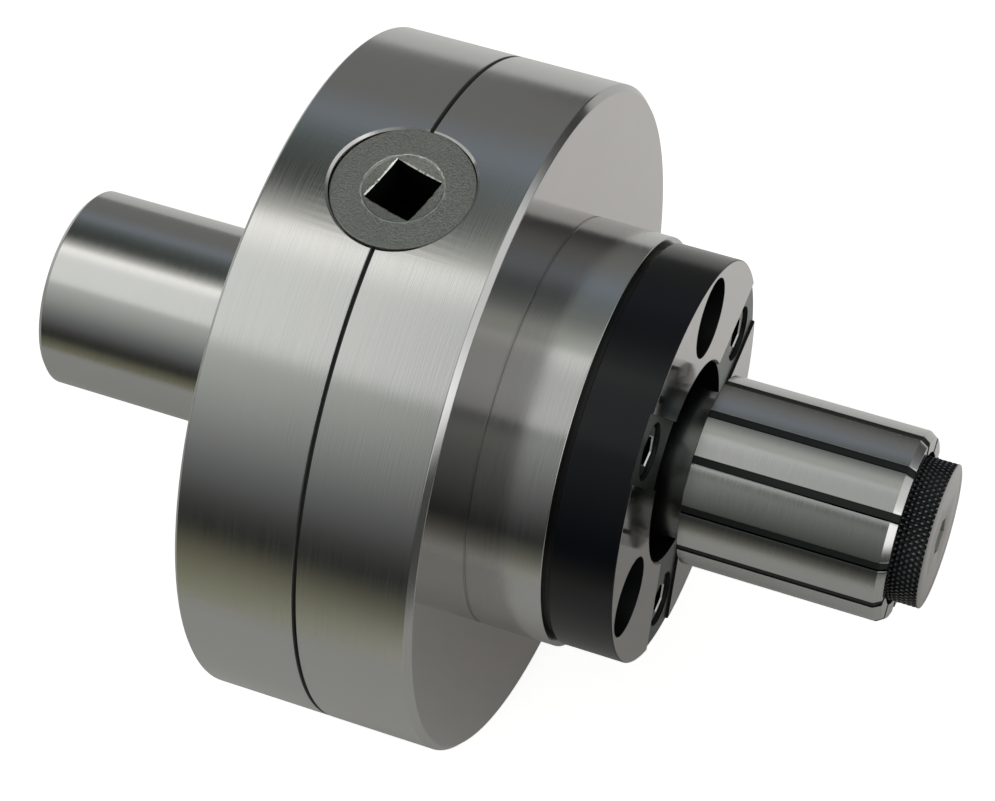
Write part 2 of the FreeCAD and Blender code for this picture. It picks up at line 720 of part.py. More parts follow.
def make_draw_tube():
    """Draw tube, threaded outside for the nut and inside for the draw bolt."""
    body = tube(TUBE_REAR, TUBE_FRONT, BOLT_THREAD_R + RUN, TUBE_R)
    width = KEY_W + 2 * RUN
    start = ARBOR_FLANGE_X + KEY_STEP - TRAVEL - HEAD_ROOM
    slot = Part.makeBox(TUBE_FRONT - start + 1, width, KEY_DEPTH + 1,
                        V(start, -width / 2, TUBE_R - KEY_DEPTH))
    mouth = Part.makeCone(BOLT_THREAD_R, BOLT_THREAD_R + THREAD_CHAMFER, THREAD_CHAMFER,
                          V(TUBE_FRONT - THREAD_CHAMFER, 0, 0), AXIS_X)
    return body.cut([spin(slot, 90), spin(slot, 270), mouth]).removeSplitter()


def rollers(x, inner, length):
    """Thrust rollers lying on a circle."""
    out = []
    for k in range(ROLLER_COUNT):
        one = Part.makeCylinder(ROLLER_R, length, V(x, 0, inner))
        out.append(spin(one, 360.0 * k / ROLLER_COUNT))
    return out


def make_races():
    """Two thrust races, one on each wall of the gear chamber."""
    rear = tube(REAR_WALL, REAR_WALL + RACE_T, REAR_ROLLER_R - RACE_EDGE,
                REAR_ROLLER_R + ROLLER_LENGTH + RACE_EDGE)
    front = tube(FRONT_WALL_X - RACE_T, FRONT_WALL_X, NUT_R + CLEAR, FRONT_RACE_OUT)
    return rear, front


def make_rollers():
    """The rollers that run on the two races."""
    rear = rollers(REAR_WALL + RACE_T + ROLLER_R + SLIP, REAR_ROLLER_R, ROLLER_LENGTH)
    front = rollers(FRONT_WALL_X - RACE_T - ROLLER_R - SLIP, FRONT_ROLLER_R, FRONT_ROLLER_LENGTH)
    return rear, front


def make_shank_plug():
    """Plug in the end of the shank, with a centre hole."""
    start = -SHANK_LENGTH + PLUG_SINK
    end = -SHANK_LENGTH + PLUG_LENGTH
    points = [(start, 0), (start, PLUG_R - PLUG_SINK), (start + PLUG_SINK, PLUG_R), (end, PLUG_R), (end, 0)]
    centre = Part.makeCone(CENTRE_R, 0.0, CENTRE_R * math.sqrt(3), V(start - 0.01, 0, 0), AXIS_X)
    return turned(points).cut(centre)


def make_draw_bolt():
    """Draw bolt with a knurled head and a hexagon socket."""
    step = TUBE_FRONT + BOLT_STEP
    points = [(BOLT_REAR, 0), (BOLT_REAR, BOLT_THREAD_R - THREAD_CHAMFER)]
    points += [(BOLT_REAR + THREAD_CHAMFER, BOLT_THREAD_R)]
    points += [(step, BOLT_THREAD_R), (step, BOLT_R), (CLIP_FRONT - CLIP_T, BOLT_R)]
    points += [(CLIP_FRONT - CLIP_T, BOLT_R - CLIP_SINK), (CLIP_FRONT, BOLT_R - CLIP_SINK)]
    points += [(CLIP_FRONT, BOLT_R), (HEAD_REAR, BOLT_R), (HEAD_REAR, HEAD_R - HEAD_BACK_CHAMFER)]
    points += [(HEAD_REAR + HEAD_BACK_CHAMFER, HEAD_R), (HEAD_FRONT - HEAD_CHAMFER, HEAD_R)]
    points += [(HEAD_FRONT, HEAD_R - HEAD_CHAMFER), (HEAD_FRONT, 0)]
    bolt = turned(points)
    socket = hexagon(HEX, HEAD_FRONT - HEX_DEPTH, HEAD_FRONT + 1)
    return bolt.cut(socket).removeSplitter()


def make_bolt_clip():
    """Open retaining ring behind the lips of the sleeve."""
    inner = BOLT_R - CLIP_SINK
    ring = tube(CLIP_FRONT - CLIP_T, CLIP_FRONT, inner, CLIP_R)
    mouth = Part.makeBox(2 * CLIP_T, CLIP_MOUTH, CLIP_R + 1,
                         V(CLIP_FRONT - 1.5 * CLIP_T, -CLIP_MOUTH / 2, -CLIP_R - 1))
    return ring.cut(mouth)


def segment_profile():
    """Closed (x, r) outline of the sleeve wall."""
    gap = SLIP / math.cos(CONE_ANGLE)
    cone_end = CONE_END + CONE_ROOM
    points = [(SLEEVE_REAR, cone_radius(SLEEVE_REAR) + gap), (SLEEVE_REAR, SLEEVE_R - SLEEVE_EDGE)]
    points += [(SLEEVE_REAR + SLEEVE_EDGE, SLEEVE_R), (SLEEVE_FRONT - SLEEVE_CHAMFER, SLEEVE_R)]
    points += [(SLEEVE_FRONT, SLEEVE_R - SLEEVE_CHAMFER), (SLEEVE_FRONT, POCKET_R)]
    points += [(LIP_FRONT, POCKET_R), (LIP_FRONT, LIP_R), (LIP_REAR, LIP_R)]
    points += [(LIP_REAR, cone_radius(cone_end) + gap), (cone_end, cone_radius(cone_end) + gap)]
    return points


def rubber_profile():
    """Closed (x, r) outline of the rubber, sunk below the steel all round."""
    sink = SLEEVE_EDGE
    front = SLEEVE_FRONT - sink / 2
    top = SLEEVE_R - RUBBER_SINK
    points = [(SLEEVE_REAR, cone_radius(SLEEVE_REAR) + sink), (SLEEVE_REAR, top - SLEEVE_EDGE)]
    points += [(SLEEVE_REAR + SLEEVE_EDGE, top), (front - SLEEVE_CHAMFER, top)]
    points += [(front, top - SLEEVE_CHAMFER), (front, POCKET_R), (LIP_FRONT, POCKET_R)]
    points += [(LIP_FRONT, LIP_R + RUBBER_LIP), (LIP_REAR, LIP_R + RUBBER_LIP)]
    points += [(LIP_REAR, cone_radius(CONE_END) + sink), (CONE_END, cone_radius(CONE_END) + sink)]
    return points


def make_segment(index):
    """One steel segment of the sleeve."""
    ring = turned(segment_profile())
    step = 360.0 / SEGMENTS
    mid = SEGMENT_TURN + step * (index + 0.5)
    tall = SLEEVE_R + 2
    far = SLEEVE_LENGTH + 2
    wall = Part.makeBox(far, tall, tall, V(SLEEVE_REAR - 1, SLIT / 2, 0))
    right = spin(wall, mid - step / 2)
    other = Part.makeBox(far, tall, tall, V(SLEEVE_REAR - 1, -SLIT / 2 - tall, 0))
    left = spin(other, mid + step / 2)
    return ring.common(right).common(left)


def make_rubber(index):
    """One rubber strip, bonded to the side of a segment."""
    edge = SEGMENT_TURN + 360.0 / SEGMENTS * index
    strip = Part.makeBox(SLEEVE_LENGTH + 2, SLIT - RUBBER_GAP, SLEEVE_R + 2,
                         V(SLEEVE_REAR - 1, -SLIT / 2 + RUBBER_GAP, 0))
    return turned(rubber_profile()).common(spin(strip, edge))


def save(name, shape):
    """Write one part file."""
    if isinstance(shape, list):
        shape = shape[0] if len(shape) == 1 else Part.makeCompound(shape)
    shape.exportStep("parts/" + name + ".step")


RACES = make_races()
ROLLERS = make_rollers()
save("shank", make_shank())
save("shank_plug", make_shank_plug())
save("rear_body", make_rear_body())
save("front_body", make_front_body())
save("hub", make_hub())
save("half_screw", half_screws())
save("half_dowel", half_dowels())
save("split_oring", make_split_oring())
save("arbor", make_arbor())
save("arbor_screw", arbor_screws())
save("arbor_dowel", arbor_dowels())
save("arbor_oring", oring(arbor_seal_x(), BOLT_R + ORING_R, ORING_R))
save("draw_key", key_slots())
save("stop_ring", make_stop_ring())
save("ring_screw", ring_screws())
save("rear_bush", tube(BUSH_REAR, REAR_WALL, NUT_JOURNAL_R + RUN, NUT_JOURNAL_R + BUSH_T))
save("front_bush", tube(FRONT_WALL_X, NUT_FRONT, NUT_R + RUN, NUT_R + RUN + FRONT_BUSH_T))
save("rear_race", RACES[0])
save("front_race", RACES[1])
save("rear_roller", ROLLERS[0])
save("front_roller", ROLLERS[1])
save("key_pinion", make_key_pinion())
save("pinion_washer", make_pinion_washer())
save("pinion_oring", make_pinion_oring())
save("ring_gear", make_ring_gear())
save("gear_pin", gear_pins())
save("draw_nut", make_draw_nut())
save("draw_tube", make_draw_tube())
save("draw_bolt", make_draw_bolt())
save("bolt_clip", make_bolt_clip())
save("bolt_washer", tube(LIP_FRONT, HEAD_REAR, BOLT_R + RUN, WASHER_R))
for INDEX in range(SEGMENTS):
    save("sleeve_segment_%02d" % (INDEX + 1), make_segment(INDEX))
    save("sleeve_rubber_%02d" % (INDEX + 1), make_rubber(INDEX))
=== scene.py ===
"""Expanding mandrel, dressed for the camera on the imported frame.

Meshes are drawn in millimetres and scaled once when they become objects.
Angles about the mandrel run from +Z towards +Y, in degrees.
"""

import json
import logging
import math
from collections.abc import Callable, Sequence
from dataclasses import dataclass, field
from enum import Enum
from typing import Any

import bmesh
import bpy
from mathutils import Matrix, Vector, noise

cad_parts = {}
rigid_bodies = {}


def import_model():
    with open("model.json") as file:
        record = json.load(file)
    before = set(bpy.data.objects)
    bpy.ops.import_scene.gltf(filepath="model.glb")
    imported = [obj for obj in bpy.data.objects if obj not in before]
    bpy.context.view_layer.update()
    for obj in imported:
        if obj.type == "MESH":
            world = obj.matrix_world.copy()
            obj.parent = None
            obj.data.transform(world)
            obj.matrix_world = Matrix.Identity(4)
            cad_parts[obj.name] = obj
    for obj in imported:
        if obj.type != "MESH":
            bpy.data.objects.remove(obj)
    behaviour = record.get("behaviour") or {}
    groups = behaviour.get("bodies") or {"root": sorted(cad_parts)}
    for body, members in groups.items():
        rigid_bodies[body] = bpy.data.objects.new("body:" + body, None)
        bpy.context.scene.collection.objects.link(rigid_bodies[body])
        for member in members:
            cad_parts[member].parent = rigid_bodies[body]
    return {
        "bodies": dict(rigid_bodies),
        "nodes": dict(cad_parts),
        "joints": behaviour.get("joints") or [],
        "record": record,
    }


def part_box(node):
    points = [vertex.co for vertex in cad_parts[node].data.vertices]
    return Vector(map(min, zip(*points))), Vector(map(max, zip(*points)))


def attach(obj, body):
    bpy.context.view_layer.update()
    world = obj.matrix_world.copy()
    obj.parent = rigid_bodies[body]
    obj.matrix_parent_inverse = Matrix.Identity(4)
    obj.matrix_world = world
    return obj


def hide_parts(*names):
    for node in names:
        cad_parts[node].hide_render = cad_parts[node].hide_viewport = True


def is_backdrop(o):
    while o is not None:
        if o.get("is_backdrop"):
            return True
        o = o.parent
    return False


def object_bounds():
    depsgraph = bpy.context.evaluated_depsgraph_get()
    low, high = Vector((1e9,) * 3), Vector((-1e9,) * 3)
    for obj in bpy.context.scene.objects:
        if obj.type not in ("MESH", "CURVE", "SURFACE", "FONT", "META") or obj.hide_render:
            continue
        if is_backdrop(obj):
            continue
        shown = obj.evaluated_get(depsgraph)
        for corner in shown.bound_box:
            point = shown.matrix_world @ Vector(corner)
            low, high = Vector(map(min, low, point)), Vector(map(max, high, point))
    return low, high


LOG = logging.getLogger("mandrel")
MM = 0.001
# Facets round the large turned pieces, the pinion with its seat, and the small holes
FINE = 288
KEYED = 192
ROUND = 96
# How far a cutter starts outside the face that it enters
OVER = 1.0
# Part of a unit normal along the mandrel above which a face counts as flat
FLAT = 0.98
# Slack where a face is told by its place, and the radius below which a point lies on the axis
NEAR = 0.01
ON_AXIS = 1e-6
# Edges at a larger angle than this stay sharp
SHARP = 32.0
# Part of a short edge that a soft corner may take
CORNER_SHARE = 0.35
# Size of the faint light and dark patches on every finish
CLOUD_MM = 22.0
# Radius at which a streak of the wheel is as long as its finish says
STREAK_R = 40.0
# Part of the noise that the speckle is stretched from, so that its grains stand out
SPECKLE = (0.34, 0.66)

Point = tuple[float, float]
Rule = Callable[[Vector, Vector], int]
Socket = bpy.types.NodeSocket
Profile = list[Point]
Links = dict[str | int, Any]
Ring = list[bmesh.types.BMVert]


class Grain(Enum):
    """How the tool marks lie on a finish."""

    RINGS = "rings"
    SPECKLE = "speckle"


def linear(colour: str) -> tuple[float, float, float, float]:
    """Turn an sRGB hex colour to linear.

    Args:
        colour: Six hex digits after a hash.

    Returns:
        Red, green, blue and an alpha of 1.
    """
    parts = [int(colour[k : k + 2], 16) / 255 for k in (1, 3, 5)]
    out = [p / 12.92 if p <= 0.04045 else ((p + 0.055) / 1.055) ** 2.4 for p in parts]
    return out[0], out[1], out[2], 1.0


def add_node(
    tree: bpy.types.NodeTree, kind: str, settings: Links | None = None, links: Links | None = None
) -> bpy.types.Node:
    """Add a node with its settings and links.

    Args:
        tree: The node tree.
        kind: The node's type name.
        settings: Properties of the node by name.
        links: Input name or number to a value, or to an output socket.

    Returns:
        The new node.
    """
    node = tree.nodes.new(kind)
    for name, value in (settings or {}).items():
        setattr(node, name, value)
    for name, value in (links or {}).items():
        socket = node.inputs[name]
        if isinstance(value, Socket):
            tree.links.new(value, socket)
        else:
            socket.default_value = value
    return node


def calc(tree: bpy.types.NodeTree, kind: str, *values: Any) -> Socket:
    """Add one step of arithmetic.

    Args:
        tree: The node tree.
        kind: The operation.
        values: Numbers or sockets, in order.

    Returns:
        The result's socket.
    """
    return add_node(tree, "ShaderNodeMath", {"operation": kind}, dict(enumerate(values))).outputs[0]


def mixed(tree: bpy.types.NodeTree, share: Socket, low: Any, high: Any) -> Socket:
    """Mix two colours.

    Args:
        tree: The node tree.
        share: Share of the second colour.
        low: First colour, or its socket.
        high: Second colour, or its socket.

    Returns:
        The colour socket.
    """
    return add_node(tree, "ShaderNodeMix", {"data_type": "RGBA"}, {0: share, 6: low, 7: high}).outputs[2]


def between(tree: bpy.types.NodeTree, value: Socket, span: tuple[float, float]) -> Socket:
    """Share of the way that a value has gone through a span.

    Args:
        tree: The node tree.
        value: The value's socket.
        span: Where the share is 0 and where it is 1.

    Returns:
        The share's socket.
    """
    return add_node(tree, "ShaderNodeMapRange", None, {0: value, 1: span[0], 2: span[1]}).outputs[0]


@dataclass(frozen=True)
class Finish:
    """A surface as its maker leaves it."""

    name: str
    colour: str
    metallic: float = 1.0
    roughness: float = 0.3
    rough_spread: float = 0.06
    grain: Grain = Grain.RINGS
    pitch_mm: float = 0.35
    depth_mm: float = 0.004
    streak_mm: float = 14.0
    shade: float = 0.06
    specular: float = 0.5

    def material(self) -> bpy.types.Material:
        """Build the node material, or give the one already built.

        Returns:
            The material.
        """
        made = bpy.data.materials.get(self.name)
        if made is not None:
            return made
        made = bpy.data.materials.new(self.name)
        made.use_nodes = True
        tree = made.node_tree
        tree.nodes.clear()
        place = self.place(tree)
        marks = self.marks(tree, place)
        links: Links = {"Vector": place["spot"], "Scale": 1 / (CLOUD_MM * MM), "Detail": 3.0}
        cloud = add_node(tree, "ShaderNodeTexNoise", None, links)
        spread = add_node(
            tree,
            "ShaderNodeMapRange",
            None,
            {0: marks, 3: self.roughness - self.rough_spread, 4: self.roughness + self.rough_spread},
        )
        tone = linear(self.colour)
        low = tuple(c * (1 - self.shade) for c in tone[:3]) + (1.0,)
        high = tuple(min(1.0, c * (1 + self.shade)) for c in tone[:3]) + (1.0,)
        half = calc(tree, "MULTIPLY", cloud.outputs["Fac"], 0.5)
        both = calc(tree, "MULTIPLY_ADD", marks, 0.5, half)
        colour = mixed(tree, both, low, high)
        links = {"Strength": 1.0, "Distance": self.depth_mm * MM, "Height": marks}
        bump = add_node(tree, "ShaderNodeBump", None, links)
        links = {
            "Base Color": colour,
            "Metallic": self.metallic,
            "Roughness": spread.outputs[0],
            "Normal": bump.outputs[0],
        }
        if self.metallic < 0.5:
            links["Specular IOR Level"] = self.specular
        shader = add_node(tree, "ShaderNodeBsdfPrincipled", None, links)
        add_node(tree, "ShaderNodeOutputMaterial", None, {"Surface": shader.outputs[0]})
        return made

    def place(self, tree: bpy.types.NodeTree) -> dict[str, Socket]:
        """Place on the piece, straight and in ring terms.

        Args:
            tree: The node tree.

        Returns:
            Sockets for the spot, the way along the turned profile, and the two parts of the angle.
        """
        spot = add_node(tree, "ShaderNodeTexCoord").outputs["Object"]
        along, side, up = add_node(tree, "ShaderNodeSeparateXYZ", None, {0: spot}).outputs
        flat = add_node(tree, "ShaderNodeCombineXYZ", None, {0: side, 1: up})
        length = add_node(tree, "ShaderNodeVectorMath", {"operation": "LENGTH"}, {0: flat.outputs[0]})
        unit = add_node(tree, "ShaderNodeVectorMath", {"operation": "NORMALIZE"}, {0: flat.outputs[0]})
        turn = add_node(tree, "ShaderNodeSeparateXYZ", None, {0: unit.outputs[0]})
        way = calc(tree, "ADD", along, length.outputs["Value"])
        return {"spot": spot, "way": way, "one": turn.outputs[0], "two": turn.outputs[1]}

    def marks(self, tree: bpy.types.NodeTree, place: dict[str, Socket]) -> Socket:
        """Tool marks as a height from 0 to 1.

        Args:
            tree: The node tree.
            place: Sockets from place().

        Returns:
            The height socket.
        """
        scale = 1 / (self.pitch_mm * MM)
        if self.grain is Grain.SPECKLE:
            links: Links = {"Vector": place["spot"], "Scale": scale, "Detail": 4.0}
            grains = add_node(tree, "ShaderNodeTexNoise", None, links).outputs["Fac"]
            return between(tree, grains, SPECKLE)
        fine = calc(tree, "MULTIPLY", place["way"], scale)
        reach = STREAK_R / self.streak_mm
        one, two = (calc(tree, "MULTIPLY", place[part], reach) for part in ("one", "two"))
        spot = add_node(tree, "ShaderNodeCombineXYZ", None, {0: fine, 1: one, 2: two})
        links = {"Vector": spot.outputs[0], "Scale": 1.0, "Detail": 3.0}
        return add_node(tree, "ShaderNodeTexNoise", None, links).outputs["Fac"]


# Every ring pitch and grain below is drawn several times coarser than the real one, so that it shows
# Ground tool steel: fine rings from the wheel, which blur what the surface mirrors
GROUND = Finish(
    "ground_tool_steel",
    "#BCBCBC",
    roughness=0.18,
    rough_spread=0.07,
    depth_mm=0.006,
    pitch_mm=0.24,
    streak_mm=8.0,
)
# Face-ground steel: the same steel with a finer finish, nearly a mirror
FACE_GROUND = Finish(
    "face_ground_steel", "#C3BFBD", roughness=0.1, rough_spread=0.03, depth_mm=0.0016, pitch_mm=0.4
)
# Black oxide on ground steel: a blue-black film that only mirrors well at a low angle
BLACK = Finish(
    "black_oxide_steel",
    "#0C0E15",
    metallic=0.0,
    roughness=0.22,
    rough_spread=0.03,
    depth_mm=0.0012,
    shade=0.1,
    specular=0.3,
)
# Black oxide in holes and grooves, darker as painted shade since little light gets in; also laid as painted
# shade on the arbor's steel flange behind the ring
RECESS = Finish("recess_painted_shade", "#131415", metallic=0.0, roughness=0.35, depth_mm=0.002, shade=0.1)
# Milled slot floors: duller and darker than the ground face round them
MILLED = Finish("milled_slot_steel", "#6C706E", roughness=0.33, depth_mm=0.002)
# Neck of the arbor: turned steel, painted darker as the shade it lies in, in the dark of the bore
NECK_SHADE = Finish("neck_steel_painted_shade", "#7C7F7E", roughness=0.24, depth_mm=0.004)
# Face of the knurled head: turned and blued a little
TURNED_FACE = Finish(
    "turned_face_steel", "#AEA8A7", roughness=0.2, rough_spread=0.05, depth_mm=0.006, pitch_mm=0.3
)
# Peaks of the knurl: worn through the black oxide, so each one glints
WORN = Finish("worn_knurl_peaks", "#747978", roughness=0.3, depth_mm=0.002)
# Hexagon socket: bare broached steel that spreads the light that gets in
SOCKET = Finish("broached_hexagon_socket", "#C8C9C6", roughness=0.5, depth_mm=0.003)
# Turned groove between the halves: dull grey painted shade, since little light reaches it
GROOVE = Finish("groove_painted_shade", "#6E6F6E", metallic=0.0, roughness=0.45, depth_mm=0.004, pitch_mm=0.5)
# Black oxide on bought screws: smooth and oiled
SCREW = Finish(
    "black_oxide_screw",
    "#4C4E51",
    roughness=0.12,
    rough_spread=0.03,
    grain=Grain.SPECKLE,
    pitch_mm=0.5,
    depth_mm=0.001,
)
# Edges of those screws: painted highlight, bright metal that stands in for glints on the chamfers of head and
# key hole
GLINT = Finish(
    "screw_edges_painted_highlight", "#C4C6C6", roughness=0.16, grain=Grain.SPECKLE, pitch_mm=0.5, depth_mm=0.001
)
# Sintered steel with steam oxide: grainy dark grey with a green cast
SINTERED = Finish(
    "steam_oxidised_sintered_steel",
    "#9B9C98",
    roughness=0.46,
    rough_spread=0.1,
    grain=Grain.SPECKLE,
    pitch_mm=0.34,
    depth_mm=0.03,
    shade=0.3,
)
# Broached socket: the same sintered steel, painted near black inside as shade
BROACHED_SHADE = Finish(
    "socket_wall_painted_shade", "#0B0C0B", metallic=0.0, roughness=0.7, depth_mm=0.003, specular=0.05
)
# Burr along the broached and turned edges: bare steel, made near white as a painted highlight where it
# catches the light
BURR_HIGHLIGHT = Finish("burr_painted_highlight", "#E2E4E0", roughness=0.35, grain=Grain.SPECKLE, pitch_mm=0.5, depth_mm=0.008)
# Hardened steel inside the drive: plain turned or rolled
HARD = Finish("hardened_bearing_steel", "#A9A8A6", roughness=0.28, depth_mm=0.003)
# Bearing bronze: warm and turned
BRONZE = Finish("turned_bearing_bronze", "#B98E56", roughness=0.34, depth_mm=0.004)
# Nitrile rubber: matt black seals
SEAL = Finish(
    "nitrile_rubber",
    "#1D1E1E",
    metallic=0.0,
    roughness=0.62,
    grain=Grain.SPECKLE,
    pitch_mm=0.6,
    depth_mm=0.004,
)
# Bonded rubber between the segments: dark grey-green, dull, with a slight mould grain
INFILL = Finish(
    "bonded_sleeve_rubber",
    "#191F1E",
    metallic=0.0,
    roughness=0.55,
    grain=Grain.SPECKLE,
    pitch_mm=0.5,
    depth_mm=0.007,
    specular=0.3,
    shade=0.25,
)


def soften(points: Sequence[Point], radius: float, steps: int = 3) -> Profile:
    """Break the corners of a closed outline.

    Args:
        points: Corners as (along, out) in millimetres.
        radius: Edge radius; short edges get less.
        steps: Arc points for each corner.

    Returns:
        The outline with a small arc at each corner off the axis.
    """
    out: Profile = []
    count = len(points)
    for k, (x, r) in enumerate(points):
        if r <= ON_AXIS:
            out.append((x, r))
            continue
        here = Vector((x, r))
        back = Vector(points[k - 1]) - here
        ahead = Vector(points[(k + 1) % count]) - here
        size = min(radius, CORNER_SHARE * back.length, CORNER_SHARE * ahead.length)
        one = here + back.normalized() * size
        two = here + ahead.normalized() * size
        for j in range(steps + 1):
            t = j / steps
            spot = one * (1 - t) ** 2 + here * 2 * t * (1 - t) + two * t**2
            out.append((spot.x, max(spot.y, 0.0)))
    return out


def turned(points: Sequence[Point], sides: int, shift: Vector = Vector()) -> bmesh.types.BMesh:
    """Turn a closed outline about the mandrel axis.

    Args:
        points: Outline as (along, out) in millimetres.
        sides: Facets round the axis.
        shift: Move of the finished shape in millimetres.

    Returns:
        A closed bmesh.
    """
    mesh = bmesh.new()
    rings: list[Ring] = []
    for x, r in points:
        ring = []
        for k in range(sides if r > ON_AXIS else 1):
            turn = 2 * math.pi * k / sides
            spot = Vector((x, r * math.sin(turn), r * math.cos(turn)))
            ring.append(mesh.verts.new(spot + shift))
        rings.append(ring)
    for k, ring in enumerate(rings):
        join(mesh, ring, rings[(k + 1) % len(rings)])
    bmesh.ops.recalc_face_normals(mesh, faces=mesh.faces)
    return mesh


def join(mesh: bmesh.types.BMesh, one: Ring, two: Ring) -> None:
    """Skin two rings, or a ring and a pole, with faces.

    Args:
        mesh: The bmesh that both are in.
        one: Points of the first ring, or one point.
        two: Points of the second ring, or one point.
    """
    count = max(len(one), len(two))
    if count == 1:
        return
    for k in range(count):
        n = (k + 1) % count
        corners = [one[k % len(one)], one[n % len(one)], two[n % len(two)], two[k % len(two)]]
        kept = list(dict.fromkeys(corners))
        mesh.faces.new(kept)


def skin(rings: Sequence[Sequence[Vector]]) -> bmesh.types.BMesh:
    """Skin a stack of rings of points.

    Args:
        rings: Points of each ring in millimetres; one point closes an end.

    Returns:
        A closed bmesh.
    """
    mesh = bmesh.new()
    made = [[mesh.verts.new(spot) for spot in ring] for ring in rings]
    for one, two in zip(made, made[1:]):
        join(mesh, one, two)
    bmesh.ops.recalc_face_normals(mesh, faces=mesh.faces)
    return mesh


def upright_ring(radius: float, level: float, sides: int, turn: float = 0.0) -> list[Vector]:
    """Points of a level circle about the upright axis, or its centre."""
    angles = [math.tau * k / sides + math.radians(turn) for k in range(sides if radius > 0 else 1)]
    return [Vector((radius * math.cos(a), radius * math.sin(a), level)) for a in angles]


def block(low: Vector, high: Vector, turn: float = 0.0) -> bmesh.types.BMesh:
    """A box between two corners, turned about the mandrel axis.

    Args:
        low: Corner with the smallest values, in millimetres.
        high: The opposite corner.
        turn: Angle about the mandrel in degrees.

    Returns:
        The bmesh.
    """
    mesh = bmesh.new()
    made = bmesh.ops.create_cube(mesh, size=1.0)
    size = high - low
    middle = (high + low) / 2
    for vert in made["verts"]:
        vert.co = Vector((vert.co.x * size.x, vert.co.y * size.y, vert.co.z * size.z)) + middle
    mesh.transform(Matrix.Rotation(math.radians(-turn), 4, "X"))
    return mesh


def out_at(radius: float, degrees: float) -> Vector:
    """A place on a circle about the mandrel axis."""
    turn = math.radians(degrees)
    return Vector((0, radius * math.sin(turn), radius * math.cos(turn)))


def joined(parts: Sequence[bmesh.types.BMesh]) -> bmesh.types.BMesh:
    """One bmesh holding several; the parts are freed.

    Args:
        parts: The bmeshes.

    Returns:
        The whole.
    """
    whole = bmesh.new()
    for part in parts:
        data = bpy.data.meshes.new("part")
        part.to_mesh(data)
        part.free()
        whole.from_mesh(data)
        bpy.data.meshes.remove(data)
    return whole


def to_object(name: str, mesh: bmesh.types.BMesh) -> bpy.types.Object:
    """Scale a millimetre mesh to metres and link it as an object.

    Args:
        name: Name of the object and its mesh.
        mesh: The mesh in millimetres, which is freed.

    Returns:
        The object.
    """
    mesh.transform(Matrix.Scale(MM, 4))
    data = bpy.data.meshes.new(name)
    mesh.to_mesh(data)
    mesh.free()
    made = bpy.data.objects.new(name, data)
    bpy.context.scene.collection.objects.link(made)
    return made


def bake(made: bpy.types.Object) -> None:
    """Turn the evaluated object into a plain mesh and drop its modifiers.

    Args:
        made: The piece.
    """
    graph = bpy.context.evaluated_depsgraph_get()
    graph.update()
    seen = made.evaluated_get(graph)
    data = bpy.data.meshes.new_from_object(seen, preserve_all_data_layers=True, depsgraph=graph)
    made.modifiers.clear()
    made.data = data


def carve(made: bpy.types.Object, passes: Sequence[bmesh.types.BMesh]) -> None:
    """Cut shapes out of a piece, one after the other.

    Args:
        made: The piece.
        passes: Cutters in millimetres; the shells within one must not cross.
    """
    for k, cutter in enumerate(passes):
        tool = to_object(f"cutter_{k}", cutter)
        step = made.modifiers.new("cut", "BOOLEAN")
        step.operation = "DIFFERENCE"
        step.solver = "EXACT"
        step.object = tool
        bake(made)
        bpy.data.objects.remove(tool)


def smooth(made: bpy.types.Object, angle: float = SHARP, bevel_mm: float = 0.0) -> None:
    """Shade a piece with sharp edges by angle and weighted normals.

    Args:
        made: The piece.
        angle: Edges sharper than this stay sharp.
        bevel_mm: Width of a small bevel on those edges, or 0.
    """
    made.data.shade_smooth()
    if bevel_mm:
        edge = made.modifiers.new("edge", "BEVEL")
        edge.width = bevel_mm * MM
        edge.segments = 2
        edge.limit_method = "ANGLE"
        edge.angle_limit = math.radians(angle)
        edge.use_clamp_overlap = True
        bake(made)
        made.data.shade_smooth()
    made.data.set_sharp_from_angle(angle=math.radians(angle))
    weight = made.modifiers.new("weight", "WEIGHTED_NORMAL")
    weight.keep_sharp = True
    weight.weight = 60
    bake(made)


def dress(made: bpy.types.Object, finishes: Sequence[Finish], rule: Rule | None = None) -> None:
    """Give a piece its finishes.

    Args:
        made: The piece.
        finishes: One finish for each material slot.
        rule: Picks a slot from a face's centre in millimetres and its normal.
    """
    made.data.materials.clear()
    for finish in finishes:
        made.data.materials.append(finish.material())
    for face in made.data.polygons:
        face.material_index = rule(face.center / MM, face.normal) if rule else 0


def ring_stack(
    rings: Sequence[tuple[float, float, bool]], sides: int, flats: int, turn: float = 0.0
) -> bmesh.types.BMesh:
    """Skin rings along X, each round or with flats.

    Args:
        rings: Place, radius and whether the ring has flats; with flats the radius is across them, halved.
        sides: Points in each ring.
        flats: Number of flats.
        turn: Angle of the first corner.

    Returns:
        The bmesh, in millimetres.
    """
    made = []
    step = 2 * math.pi / flats
    for x, radius, flat in rings:
        ring = []
        for k in range(sides if radius > 0 else 1):
            angle = 2 * math.pi * k / sides
            out = radius / math.cos((angle % step) - step / 2) if flat else radius
            spin = angle + math.radians(turn)
            ring.append(Vector((x, out * math.sin(spin), out * math.cos(spin))))
        made.append(ring)
    return skin(made)


